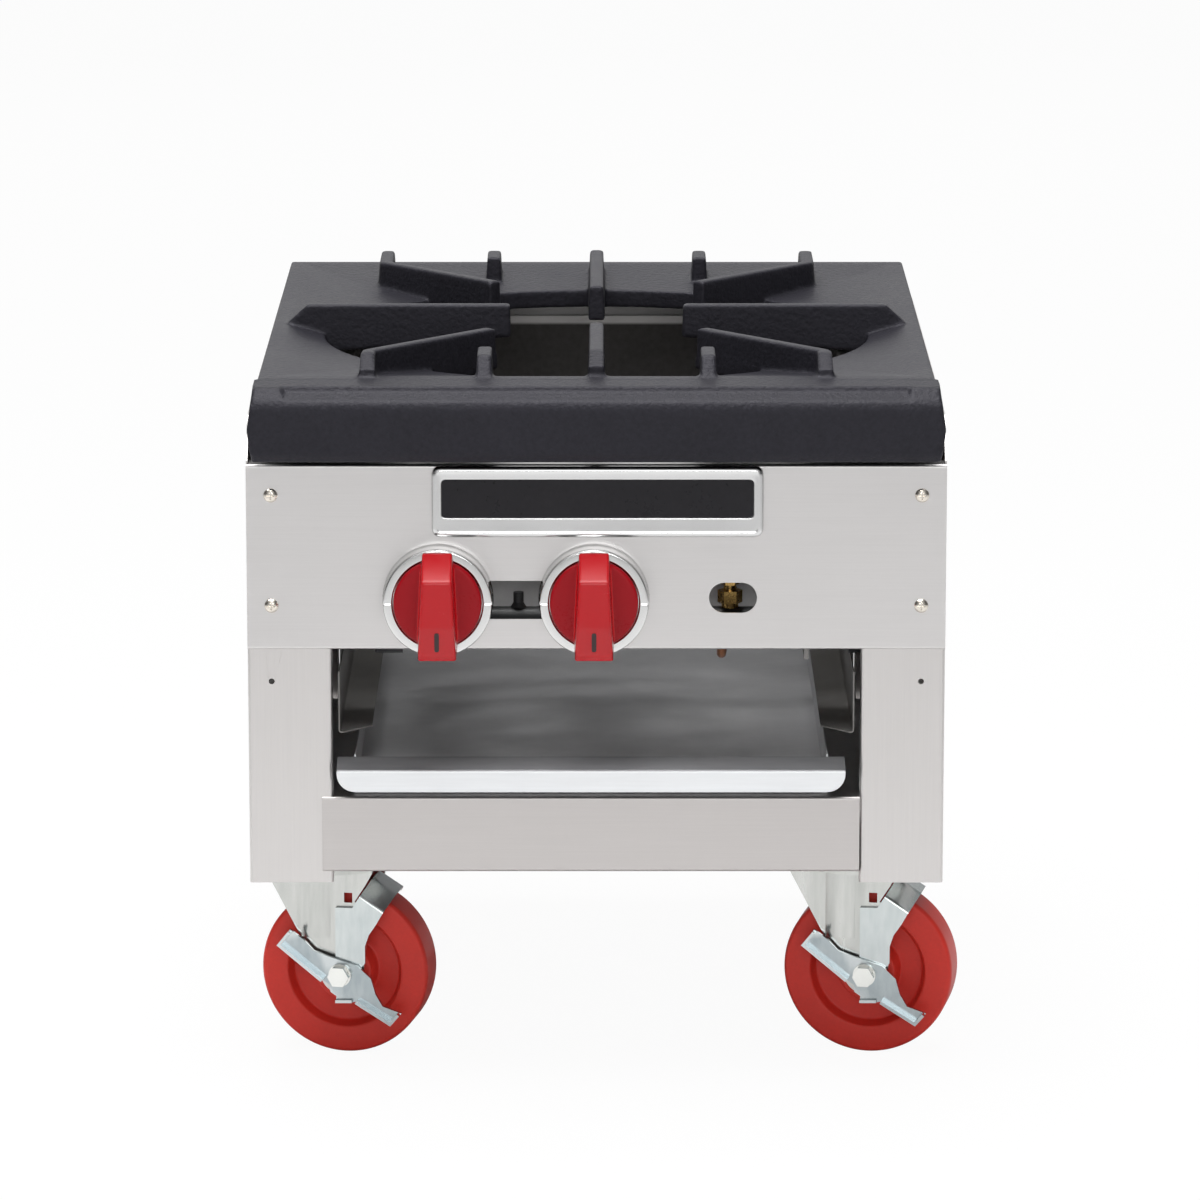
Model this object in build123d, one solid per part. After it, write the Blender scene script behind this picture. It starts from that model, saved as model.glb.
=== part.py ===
from build123d import *
import math
import os

os.makedirs("parts", exist_ok=True)

# A one-burner stock pot range on four swivel casters. Lengths are in millimetres.
# While it is built, x = 0 is the middle of the body, y = 0 the outer face of the control
# panel and z = 0 the floor, with +y to the back. The finished parts are then moved so that
# the origin is on the floor under the middle of the whole object.

# Small fits
touch = 0.3
bolt_clearance = 0.1
running_gap = 0.06
thread_gap = 0.05

# Casters, stacked up from the floor
wheel_radius = 57.15
wheel_width = 32.0
wheel_clearance = 13.2
hub_radius = 19.0
recess_radius = 39.0
web_width = 15.0
trail = 9.5
front_yaw = -11.0
rear_yaw = 90.0
crown_radius = 36.0
crown_thickness = 4.0
race_rise = 5.6
race_radius = 31.0
race_width = 9.0
ball_radius = 3.17
ball_count = 24
ball_gap = 0.1
upper_race = 4.36
cup_radius = 42.0
cup_depth = 7.5
cup_wall = 3.0
kingpin_radius = 6.0
kingpin_head_radius = 11.0
kingpin_head = 5.0
fork_gap = 39.2
fork_sheet = 3.0
fork_boss_radius = 15.0
fork_boss_flare = 2.0
cheek_left = 44.0
cheek_right = 30.5
axle_radius = 3.97
bushing_radius = 6.35
axle_flats = 12.7
axle_head = 6.0
axle_nut = 6.6
washer_radius = 7.7
washer_thickness = 1.5
brake_sheet = 2.5
brake_travel = 3.0
brake_shoe_angle = 58.0
brake_shoe_shift = 9.4
brake_shoe_rise = 5.8
brake_lever_tilt = 3.0
brake_lever_flange = 6.0
caster_plate = 4.0
caster_plate_size = (95.0, 90.0)
caster_bolt_spacing = (74.0, 68.0)
caster_bolt_radius = 4.0
caster_bolt_flats = 12.7
caster_inset_x = 52.5
caster_inset_y = 94.0
hub_width = fork_gap - 0.8
axle_height = wheel_radius
cheek_inner = fork_gap / 2
cheek_outer = cheek_inner + fork_sheet
crown_bottom = 2 * wheel_radius + wheel_clearance
lower_race_height = crown_bottom + race_rise
upper_race_height = lower_race_height + 2 * ball_radius + 2 * ball_gap
plate_bottom_height = upper_race_height + upper_race
base_plate_height = plate_bottom_height + caster_plate

# Body shell, folded from stainless sheet
body_width = 457.2
body_depth = 510.0
sheet = 1.2
fold_radius = 1.6
leg_drop = 11.0
side_height = 309.0
column_width = 55.0
rear_column_width = 40.0
column_return = 13.0
side_top_flange = 20.0
side_bottom_hem = 8.0
side_corner_cut = 27.0
back_lap = 7.5
back_top_flange = 14.0
half_width = body_width / 2
inner_side = half_width - sheet
column_edge = half_width - column_width
rear_column_edge = half_width - rear_column_width
column_back = 2 * sheet + column_return
leg_bottom = base_plate_height - leg_drop
side_top = leg_bottom + side_height
caster_x = half_width - caster_inset_x
caster_front_y = caster_inset_y
caster_rear_y = body_depth - caster_inset_y

# Control panel
panel_drop = 28.0
panel_height = 123.5
panel_top_flange = 16.0
panel_bottom_flange = 12.0
control_rise = 34.2
left_knob_x = -103.6
right_knob_x = -1.5
stem_hole_radius = 11.0
slot_x = (-76.0, -29.0)
slot_below = 13.7
slot_above = 11.9
window_x = 89.4
window_width = 31.4
window_below = 9.5
window_above = 10.6
screw_inset = 16.1
screw_rise = 29.5
screw_drop = 20.5
screw_radius = 2.0
screw_head_radius = 4.6
screw_head_height = 2.6
screw_length = 9.0
spare_hole_drop = 21.5
spare_hole_radius = 1.9
panel_top = side_top - panel_drop
panel_bottom = panel_top - panel_height
control_height = panel_bottom + control_rise
slot_bottom = control_height - slot_below
slot_top = control_height + slot_above
window_bottom = control_height - window_below
window_top = control_height + window_above
screw_x = half_width - screw_inset
screw_heights = (panel_bottom + screw_rise, panel_top - screw_drop)
spare_hole_height = panel_bottom - spare_hole_drop

# Lower rails and the channels that the casters bolt to
rail_rise = 7.6
rail_height = 50.9
rail_flange = 18.0
rail_lap = 7.0
base_sheet = 2.5
base_width = 94.0
base_flange = 20.0
rail_bottom = leg_bottom + rail_rise
rail_top = rail_bottom + rail_height
back_bottom = rail_top - back_lap

# Liners round the burner
liner_sheet = 0.8
liner_inset = 59.6
liner_height = 194.0
liner_drop = 14.0
liner_shelf = 21.0
liner_front = 3.0
liner_rear_gap = 24.0
rear_liner_rise = 4.0
liner_chamfer = 20.0
liner_notch_depth = 76.0
liner_notch_drop = 15.5
front_liner_drop = 31.7
liner_x = half_width - liner_inset
liner_top = side_top - liner_drop
liner_bottom = liner_top - liner_height
liner_rear = body_depth - liner_rear_gap
liner_notch_bottom = panel_bottom - liner_notch_drop
front_liner_bottom = control_height - front_liner_drop

# Drip tray
tray_side_gap = 6.6
tray_step = 11.0
tray_side_shift = -3.5
tray_sheet = 1.0
tray_rear_gap = 36.0
tray_wall = 26.0
tray_gap = 0.3
tray_lip_y = -10.0
tray_lip_rise = 5.5
tray_lip_height = 14.5
tray_lip_crest_y = 10.0
tray_lip_crest_rise = 5.5
tray_lip_corner = 12.0
tray_width = 2 * (column_edge - tray_side_gap)
tray_pan_width = tray_width - 2 * tray_step
tray_rear = body_depth - tray_rear_gap
tray_lip_bottom = rail_top + tray_lip_rise
tray_lip_top = tray_lip_bottom + tray_lip_height
tray_lip_crest = tray_lip_top + tray_lip_crest_rise

# Top grate
grate_inset = 7.0
grate_front = 22.0
grate_overhang = 7.0
grate_height = 24.8
grate_rim = 10.5
grate_skirt = 8.0
grate_wall = 9.0
opening_centre_y = 245.0
opening_radius = 186.0
opening_wall = 12.2
dish_depth = 7.3
finger_height = 13.2
finger_width = 12.4
finger_draft = 2.6
finger_tip_depth = 22.5
centre_finger_reach = 74.5
side_finger_reach = 58.0
side_finger_inset = 8.6
corner_finger_tip = (70.0, 98.0)
corner_bend_x = 150.0
corner_bend_front = 36.0
corner_bend_rear = 85.0
finger_rear_inset = 31.0
small_finger_x = 73.5
small_finger_rear_length = 38.0
small_finger_front_length = 48.0
lip_inset = 1.4
lip_waist = 3.2
lip_front = -13.5
lip_drop = 49.8
lip_wall = 9.0
lip_slope_drop = 2.1
lip_nose_radius = 12.0
lip_nose_drop = 17.9
lip_nose_turn = 57.2
lip_channel_inset = 22.7
lip_channel_depth = 2.4
lip_channel_back = 2.5
lip_channel_front = 2.5
grate_half_width = half_width - grate_inset
grate_rear = body_depth + grate_overhang
grate_top = side_top + grate_height
opening_edge = grate_top - dish_depth
opening_bottom = opening_edge - opening_wall
finger_top = grate_top + finger_height
finger_under_inner = finger_top - finger_tip_depth
finger_under_outer = opening_bottom
side_finger_end = grate_half_width - side_finger_inset
corner_finger_rear = grate_rear - finger_rear_inset
lip_half_width = half_width - lip_inset
lip_bottom = grate_top - lip_drop
lip_slope_start = grate_top - lip_slope_drop
lip_nose_height = grate_top - lip_nose_drop
lip_channel_half = lip_half_width - lip_channel_inset

# Gas train
pipe_radius = 13.35
pipe_bore = 10.5
manifold_y = 45.0
manifold_drop = 28.1
manifold_inset = 88.6
supply_inset = 32.6
fitting_wall = 4.2
coupling_inside = 20.0
coupling_outside = 18.0
coupling_radius = 17.5
coupling_bore = 12.1
coupling_thread = 16.0
valve_radius = 11.0
valve_reach = 25.0
valve_back = 17.0
valve_nipple_radius = 6.5
hood_radius = 7.0
hood_length = 20.0
stem_radius = 4.0
stem_front = -24.0
stem_depth = 10.0
plug_x = -51.5
plug_thread_radius = 2.5
pilot_x = 88.3
pilot_hex = 14.2
pilot_hex_rise = 16.6
pilot_hex_height = 8.1
pilot_screw_radius = 4.25
pilot_screw_rise = 41.4
pilot_tube_radius = 3.2
pilot_head_radius = 5.5
pilot_head_rise = 1.0
pilot_foot = 14.0
pilot_line_drop = 27.6
manifold_height = control_height - manifold_drop
manifold_left = manifold_inset - half_width
supply_x = half_width - supply_inset
coupling_front = body_depth - coupling_inside
coupling_rear = body_depth + coupling_outside
valve_front = manifold_y - valve_reach
valve_rear = manifold_y + valve_back
hood_rear = valve_rear + hood_length
stem_rear = valve_front + stem_depth
pilot_hex_bottom = manifold_height + pilot_hex_rise
pilot_hex_top = pilot_hex_bottom + pilot_hex_height
pilot_screw_top = manifold_height + pilot_screw_rise
pilot_line_dip = manifold_height - pilot_line_drop

# Burner castings
ring_height = 24.0
ring_drop = 74.0
ring_width = 26.0
ring_wall = 4.0
ring_clearance = 16.0
ring_pitch = 50.0
inner_ring_pitch = 45.0
port_radius = 1.4
port_spacing = 15.0
mixer_radius = 17.0
mixer_bore = 13.0
bell_radius = 30.0
bell_gap = 5.0
bell_length = 26.0
bell_plate = 4.0
bell_hub_radius = 11.0
bell_hub_length = 4.4
liner_lap = 3.0
support_width = 13.0
support_height = 12.0
support_sheet = 2.0
shutter_thickness = 2.0
shutter_ear = 22.0
window_inner = 14.0
window_outer = 26.0
window_angle = 52.0
ring_bottom = side_top - ring_drop
outer_ring_radius = liner_x - ring_clearance - ring_width / 2
middle_ring_radius = outer_ring_radius - ring_pitch
inner_ring_radius = middle_ring_radius - inner_ring_pitch
bell_front = hood_rear + bell_gap
front_liner_y = bell_front + liner_lap
pilot_head_top = ring_bottom + ring_height + pilot_head_rise

# The mixer tubes rise into the rear of the outer ring and into the innermost ring
outer_elbow_y = opening_centre_y + math.sqrt(outer_ring_radius ** 2 - left_knob_x ** 2)
inner_elbow_y = opening_centre_y + math.sqrt(inner_ring_radius ** 2 - right_knob_x ** 2)

# One bar under the burners passes between the two risers, the other is its mirror image
support_offset = (outer_elbow_y + inner_elbow_y) / 2 - opening_centre_y
support_y = (opening_centre_y - support_offset, opening_centre_y + support_offset)

# The pilot stands on the front bar, half way between the two outermost rings
pilot_circle = (outer_ring_radius + middle_ring_radius) / 2
pilot_head_x = math.sqrt(pilot_circle ** 2 - support_offset ** 2)
pilot_head_y = support_y[0]

# Knobs and bezels
bezel_radius = 36.4
bezel_depth = 16.0
bezel_band = 6.6
bezel_slope = 0.8
bezel_edge = 1.4
bezel_groove = 1.1
bezel_groove_depth = 2.8
bezel_hole_radius = 9.0
knob_gap = 0.4
knob_disc_back = 13.5
knob_disc_thickness = 5.5
knob_hub_back = 3.0
grip_top_width = 19.6
grip_bottom_width = 26.6
grip_height = 25.0
bezel_face_radius = bezel_radius - bezel_band
knob_disc_radius = bezel_face_radius - 2 * knob_gap
knob_disc_front = knob_disc_back + knob_disc_thickness
knob_hub_radius = bezel_hole_radius - knob_gap
grip_depth = knob_disc_front + grip_height

# Nameplate
plate_width = 216.5
plate_centre_x = 0.8
plate_height = 47.2
plate_drop = 0.8
plate_thickness = 4.6
plate_corner = 6.5
plate_rim = 6.2
plate_top_rim = 8.6
plate_field_rise = 13.1
plate_field_depth = 1.0
plate_top = panel_top - plate_drop
plate_bottom = plate_top - plate_height
plate_field_bottom = plate_bottom + plate_field_rise
plate_field_top = plate_top - plate_top_rim

parts = {}


# The upright plane at depth y that faces the front, its own axes along x and z
def front_plane(y, x=0, z=0):
    return Plane(origin=(x, y, z), x_dir=(1, 0, 0), z_dir=(0, -1, 0))


# The upright plane at x that faces the right, its own axes along y and z
def side_plane(x):
    return Plane(origin=(x, 0, 0), x_dir=(0, 1, 0), z_dir=(1, 0, 0))


# A box from its low and high corners
def block(low, high):
    size = [high[i] - low[i] for i in range(3)]
    centre = [(high[i] + low[i]) / 2 for i in range(3)]
    return Pos(*centre) * Box(*size)


# A cylinder along y, from y0 to y1, round the axis through (x, z)
def rod_y(x, z, radius, y0, y1):
    return Pos(x, (y0 + y1) / 2, z) * Rot(90, 0, 0) * Cylinder(radius, y1 - y0)


# A cylinder along x, from x0 to x1, round the axis through (y, z)
def rod_x(y, z, radius, x0, x1):
    return Pos((x0 + x1) / 2, y, z) * Rot(0, 90, 0) * Cylinder(radius, x1 - x0)


# A cylinder along z
def rod_z(x, y, radius, z0, z1):
    return Pos(x, y, (z0 + z1) / 2) * Cylinder(radius, z1 - z0)


# A hexagonal prism along z, sized across its flats
def hex_z(x, y, flats, z0, z1):
    outline = Pos(x, y, z0) * RegularPolygon(flats / math.sqrt(3), 6)
    return extrude(outline, z1 - z0)


# A hexagonal prism along y, sized across its flats
def hex_y(x, z, flats, y0, y1):
    face = front_plane(y1, x, z) * RegularPolygon(flats / math.sqrt(3), 6)
    return extrude(face, y1 - y0)


# A flat outline given as points (x, z), made solid from y0 to y1
def slab_xz(points, y0, y1):
    face = front_plane(y1) * make_face(Polyline(*points, close=True))
    return extrude(face, y1 - y0)


# A flat outline given as points (y, z), made solid from x0 to x1
def slab_yz(points, x0, x1):
    face = side_plane(x0) * make_face(Polyline(*points, close=True))
    return extrude(face, x1 - x0)


# The cross-section of a folded sheet whose middle line runs through the points
def folded(points, thickness, radius=fold_radius):
    return trace(FilletPolyline(*points, radius=radius), line_width=thickness)


def folded_along_x(points, x0, x1, thickness=sheet):
    face = side_plane(x0) * folded(points, thickness)
    return extrude(face, x1 - x0)


def folded_along_y(points, y0, y1, thickness=sheet):
    face = front_plane(y1) * folded(points, thickness)
    return extrude(face, y1 - y0)


# The solid of revolution of an outline given as points (radius, y) round the axis along y
# through (x, z)
def turned_y(points, x, z):
    outline = make_face(Polyline(*points, close=True))
    return Pos(x, 0, z) * revolve(outline, Axis.Y)


# The same round a vertical axis through (x, y), with points (radius, z)
def turned_z(points, x, y):
    face = Plane.XZ * make_face(Polyline(*points, close=True))
    return Pos(x, y, 0) * revolve(face, Axis.Z)


def joined(solids):
    first = solids[0]
    return first.fuse(*solids[1:]) if len(solids) > 1 else first


# ---- body shell

# One side panel: the front column, the side and the rear column are one folded sheet
def side_panel(side):
    middle = sheet / 2
    front = sheet + middle
    rear = body_depth - middle
    outline = [
        (side * (column_edge + middle), column_back),
        (side * (column_edge + middle), front),
        (side * (half_width - middle), front),
        (side * (half_width - middle), rear),
        (side * (rear_column_edge + middle), rear),
        (side * (rear_column_edge + middle), body_depth - column_return),
    ]
    sheet_face = Pos(0, 0, leg_bottom) * folded(outline, sheet)
    panel = extrude(sheet_face, side_top - leg_bottom)
    # the folded front stops under the control panel's top flange, the side slants up behind it
    below = panel_top - sheet - fold_radius
    panel -= block((-half_width, 0, below), (half_width, 2 * sheet + fold_radius, side_top + 1))
    inward = sorted((side * (inner_side - 0.01), side * (column_edge - 1)))
    panel -= block((inward[0], 0, below), (inward[1], column_back + 1, side_top + 1))
    slant = [(0, below), (0, side_top + 1), (side_corner_cut + 1, side_top + 1), (side_corner_cut, side_top)]
    panel -= slab_yz(slant, -half_width - 1, half_width + 1)
    flange_x = sorted((side * inner_side, side * (inner_side - side_top_flange)))
    top_flange = block(
        (flange_x[0], side_corner_cut + 2, side_top - sheet),
        (flange_x[1], body_depth - column_return - 2, side_top),
    )
    hem_x = sorted((side * inner_side, side * (inner_side - side_bottom_hem)))
    hem = block((hem_x[0], 3 * sheet, leg_bottom), (hem_x[1], body_depth - 2 * sheet, leg_bottom + sheet))
    panel = joined([panel, top_flange, hem])
    # clear the back panel's top flange
    reach = rear_column_edge + back_top_flange
    panel -= block(
        (-reach, body_depth - back_top_flange - 6, side_top - sheet - fold_radius),
        (reach, body_depth + 1, side_top + 1),
    )
    for height in screw_heights:
        panel -= rod_y(side * screw_x, height, screw_radius + bolt_clearance, 0, 4 * sheet)
    panel -= rod_y(side * (screw_x + 0.5), spare_hole_height, spare_hole_radius, 0, 4 * sheet)
    if side * supply_x > 0:
        panel -= rod_y(supply_x, manifold_height, coupling_radius + touch, coupling_front, body_depth + 1)
    return panel


def back_panel():
    middle = sheet / 2
    outline = [
        (body_depth + middle, back_bottom),
        (body_depth + middle, side_top - middle),
        (body_depth - back_top_flange, side_top - middle),
    ]
    panel = folded_along_x(outline, -half_width, half_width)
    # the top flange fits between the two side panels' flanges
    reach = rear_column_edge + back_top_flange - 1
    for side in (-1, 1):
        span = sorted((side * reach, side * (half_width + 1)))
        panel -= block((span[0], 0, side_top - 3 * sheet), (span[1], body_depth, side_top + 1))
    panel -= rod_y(supply_x, manifold_height, coupling_radius + touch, body_depth - 2, body_depth + 4)
    return panel


def control_panel():
    middle = sheet / 2
    outline = [
        (panel_top_flange, panel_top - middle),
        (middle, panel_top - middle),
        (middle, panel_bottom + middle),
        (panel_bottom_flange, panel_bottom + middle),
    ]
    panel = folded_along_x(outline, -half_width, half_width)
    for side in (-1, 1):
        low = sorted((side * (column_edge - touch), side * (half_width + 1)))
        panel -= block((low[0], sheet, panel_bottom - 1), (low[1], column_back, panel_bottom + 4 * sheet))
        top = sorted((side * (inner_side - touch), side * (half_width + 1)))
        panel -= block((top[0], sheet, panel_top - 4 * sheet), (top[1], column_back + 20, panel_top + 1))
        for height in screw_heights:
            panel -= rod_y(side * screw_x, height, screw_radius + bolt_clearance, -1, 2 * sheet)
    for x in (left_knob_x, right_knob_x):
        panel -= rod_y(x, control_height, stem_hole_radius, -1, 2 * sheet)
    panel -= block((slot_x[0], -1, slot_bottom), (slot_x[1], 2 * sheet, slot_top))
    radius = (window_top - window_bottom) / 2
    centre = (window_top + window_bottom) / 2
    offset = window_width / 2 - radius
    panel -= block((window_x - offset, -1, window_bottom), (window_x + offset, 2 * sheet, window_top))
    for x in (window_x - offset, window_x + offset):
        panel -= rod_y(x, centre, radius, -1, 2 * sheet)
    return panel


# The front rail laps over the left column and butts against the right one
def front_lower_rail():
    middle = sheet / 2
    outline = [
        (rail_flange, rail_top - middle),
        (middle, rail_top - middle),
        (middle, rail_bottom + middle),
        (rail_flange, rail_bottom + middle),
    ]
    rail = folded_along_x(outline, -column_edge - rail_lap, column_edge - touch)
    lap = ((-half_width, sheet, rail_bottom - 1), (-column_edge + touch, rail_flange + 1, rail_top + 1))
    return rail - block(*lap)


def rear_lower_rail():
    middle = sheet / 2
    outline = [
        (body_depth - rail_flange, rail_top - middle),
        (body_depth - middle, rail_top - middle),
        (body_depth - middle, rail_bottom + middle),
        (body_depth - rail_flange, rail_bottom + middle),
    ]
    return folded_along_x(outline, -rear_column_edge + touch, rear_column_edge - touch)


# A channel from front to back that two casters bolt to, its flanges upward
def base_channel(side):
    middle = base_sheet / 2
    web = base_plate_height + middle
    low = side * caster_x - base_width / 2 + middle
    high = side * caster_x + base_width / 2 - middle
    outline = [(low, web + base_flange), (low, web), (high, web), (high, web + base_flange)]
    channel = folded_along_y(outline, column_back, body_depth - column_return, base_sheet)
    for y in (caster_front_y, caster_rear_y):
        for x, across in caster_bolt_places(side * caster_x, y):
            channel -= rod_z(x, across, caster_bolt_radius + bolt_clearance, web - 3, web + 3)
    return channel


# ---- liners and burner supports

def side_liner(side):
    middle = liner_sheet / 2
    outline = [
        (side * (liner_x - liner_shelf), liner_bottom + middle),
        (side * liner_x, liner_bottom + middle),
        (side * liner_x, liner_top - middle),
        (side * (inner_side - touch), liner_top - middle),
    ]
    liner = folded_along_y(outline, liner_front, liner_rear, liner_sheet)
    # open round the manifold, and clear of the columns
    notch = ((-half_width, 0, liner_notch_bottom), (half_width, liner_notch_depth, liner_top + 1))
    liner -= block(*notch)
    edge = liner_x + liner_sheet
    inner_edge = liner_x - liner_shelf - 1
    corner = [(side * edge, -1), (side * inner_edge, -1), (side * inner_edge, liner_front + liner_chamfer)]
    wedge = extrude(Pos(0, 0, liner_bottom - 2) * make_face(Polyline(*corner, close=True)), 6)
    liner -= wedge
    ends = sorted((side * (rear_column_edge - touch), side * half_width))
    return_y = body_depth - column_return - 1
    liner -= block((ends[0], return_y, liner_top - 4), (ends[1], body_depth, liner_top + 1))
    return liner


def rear_liner():
    middle = liner_sheet / 2
    outline = [
        (liner_rear + middle - 14, liner_bottom + middle),
        (liner_rear + middle, liner_bottom + middle),
        (liner_rear + middle, liner_top + rear_liner_rise),
    ]
    reach = liner_x + middle
    liner = folded_along_x(outline, -reach, reach, liner_sheet)
    inside = liner_x - liner_shelf - touch
    for side in (-1, 1):
        span = sorted((side * inside, side * (reach + 1)))
        liner -= block((span[0], 0, liner_bottom - 1), (span[1], liner_rear, liner_bottom + 4))
    return liner


def front_liner():
    reach = liner_x - liner_sheet / 2
    y = front_liner_y
    liner = block((-reach, y, front_liner_bottom), (reach, y + liner_sheet, liner_top))
    for x in (left_knob_x, right_knob_x):
        liner -= rod_y(x, control_height, bell_radius + 2 * touch, y - 1, y + 2)
    return liner


def burner_supports():
    reach = liner_x - liner_sheet / 2 - touch
    bars = []
    for y in support_y:
        bar = block((-reach, y - support_width / 2, ring_bottom - support_height),
                    (reach, y + support_width / 2, ring_bottom))
        bar -= block((-reach - 1, y - support_width / 2 + support_sheet, ring_bottom - support_height - 1),
                     (reach + 1, y + support_width / 2 - support_sheet, ring_bottom - support_sheet))
        bars.append(bar)
    return Compound(bars)


# ---- burner castings

# A hollow ring of the burner, round the opening's centre
def ring_body(radius):
    low = radius - ring_width / 2
    high = radius + ring_width / 2
    top = ring_bottom + ring_height
    chamfer = 5.0
    outer = [(low, ring_bottom), (high, ring_bottom), (high, top - chamfer), (high - chamfer, top),
             (low + chamfer, top), (low, top - chamfer)]
    return turned_z(outer, 0, opening_centre_y)


def ring_channel(radius):
    low = radius - ring_width / 2 + ring_wall
    high = radius + ring_width / 2 - ring_wall
    floor = ring_bottom + ring_wall
    roof = ring_bottom + ring_height - 2 * ring_wall
    inner = [(low, floor), (high, floor), (high, roof), (low, roof)]
    return turned_z(inner, 0, opening_centre_y)


# The flame ports: short holes down into the channel, evenly spaced round the ring
def ring_ports(radius):
    count = round(2 * math.pi * radius / port_spacing)
    holes = []
    for i in range(count):
        angle = 2 * math.pi * (i + 0.5) / count
        x = radius * math.cos(angle)
        y = opening_centre_y + radius * math.sin(angle)
        holes.append(rod_z(x, y, port_radius, ring_bottom + ring_height / 2, ring_bottom + ring_height + 1))
    return holes


# The mixer tube: the bell behind the valve, a straight run and an elbow up into the ring
def mixer_tube(x, elbow_y):
    z = control_height
    bell_end = bell_front + bell_length
    bell = [(0, bell_front), (bell_radius, bell_front), (bell_radius, bell_front + 8),
            (mixer_radius, bell_end), (0, bell_end)]
    run = rod_y(x, z, mixer_radius, bell_end - 1, elbow_y)
    riser = rod_z(x, elbow_y, mixer_radius, z, ring_bottom + 1)
    corner = Pos(x, elbow_y, z) * Sphere(mixer_radius)
    hub = rod_y(x, z, bell_hub_radius, bell_front - bell_hub_length, bell_front + 1)
    return joined([turned_y(bell, x, z), run, riser, corner, hub])


def mixer_bore_tool(x, elbow_y):
    z = control_height
    bell_end = bell_front + bell_length
    inside = bell_radius - 3
    bell = [(0, bell_front + bell_plate), (inside, bell_front + bell_plate), (inside, bell_front + 8),
            (mixer_bore, bell_end), (0, bell_end)]
    run = rod_y(x, z, mixer_bore, bell_end - 1, elbow_y)
    riser = rod_z(x, elbow_y, ring_width / 2 - ring_wall, z, ring_bottom + ring_wall + 1)
    corner = Pos(x, elbow_y, z) * Sphere(mixer_bore)
    throat = rod_y(x, z, hood_radius + 1, bell_front - bell_hub_length - 1, bell_front + bell_plate + 1)
    return joined([turned_y(bell, x, z), run, riser, corner, throat])


# Three air windows, cut through a disc that lies across the axis through (x, z)
def air_windows(x, z, y0, y1):
    cuts = []
    for i in range(3):
        start = math.radians(90 + 120 * i - window_angle / 2)
        end = math.radians(90 + 120 * i + window_angle / 2)
        middle = (start + end) / 2
        outside = [(window_outer * math.cos(a), window_outer * math.sin(a)) for a in (start, middle, end)]
        inside = [(window_inner * math.cos(a), window_inner * math.sin(a)) for a in (end, middle, start)]
        out = ThreePointArc(*outside)
        back = ThreePointArc(*inside)
        sector = make_face(Wire([out, Line(out @ 1, back @ 0), back, Line(back @ 1, out @ 0)]))
        cuts.append(extrude(front_plane(y1, x, z) * sector, y1 - y0))
    return cuts


def burner(radii, mixer_x, elbow_y):
    solids = [ring_body(radius) for radius in radii]
    solids.append(mixer_tube(mixer_x, elbow_y))
    tools = [ring_channel(radius) for radius in radii]
    spoke_z = (ring_bottom + 1, ring_bottom + ring_height - 8)
    if len(radii) > 1:
        inner = min(radii)
        outer = max(radii)
        for i in range(3):
            spoke = block((inner, -8, spoke_z[0]), (outer, 8, spoke_z[1]))
            bore = block((inner, -4, spoke_z[0] + 4), (outer, 4, spoke_z[1] - 4))
            turn = Pos(0, opening_centre_y, 0) * Rot(0, 0, 90 + 120 * i)
            solids.append(turn * spoke)
            tools.append(turn * bore)
    for radius in radii:
        tools.extend(ring_ports(radius))
    tools.append(mixer_bore_tool(mixer_x, elbow_y))
    tools.extend(air_windows(mixer_x, control_height, bell_front - 1, bell_front + bell_plate + 1))
    return joined(solids).cut(*tools)


# The turning disc that opens or closes the bell's air windows
def air_shutter(x, ear_angle):
    rear = bell_front - touch
    front = rear - shutter_thickness
    disc = rod_y(x, control_height, bell_radius, front, rear)
    ear = block((bell_radius - 4, front, -7), (bell_radius + shutter_ear, rear, 7))
    ear = Pos(x, 0, control_height) * Rot(0, -ear_angle, 0) * ear
    disc = joined([disc, ear])
    disc -= rod_y(x, control_height, bell_hub_radius + running_gap, front - 1, rear + 1)
    return disc.cut(*air_windows(x, control_height, front - 1, rear + 1))


# ---- gas train

def manifold():
    pipe = rod_x(manifold_y, manifold_height, pipe_radius, manifold_left, supply_x - pipe_radius - 6)
    pipe -= rod_x(manifold_y, manifold_height, pipe_bore, manifold_left - 1, supply_x)
    tapped = [(left_knob_x, valve_nipple_radius), (right_knob_x, valve_nipple_radius)]
    tapped += [(plug_x, plug_thread_radius), (pilot_x, pilot_screw_radius)]
    for x, radius in tapped:
        pipe -= rod_z(x, manifold_y, radius + thread_gap, manifold_height, manifold_height + 20)
    return pipe


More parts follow.
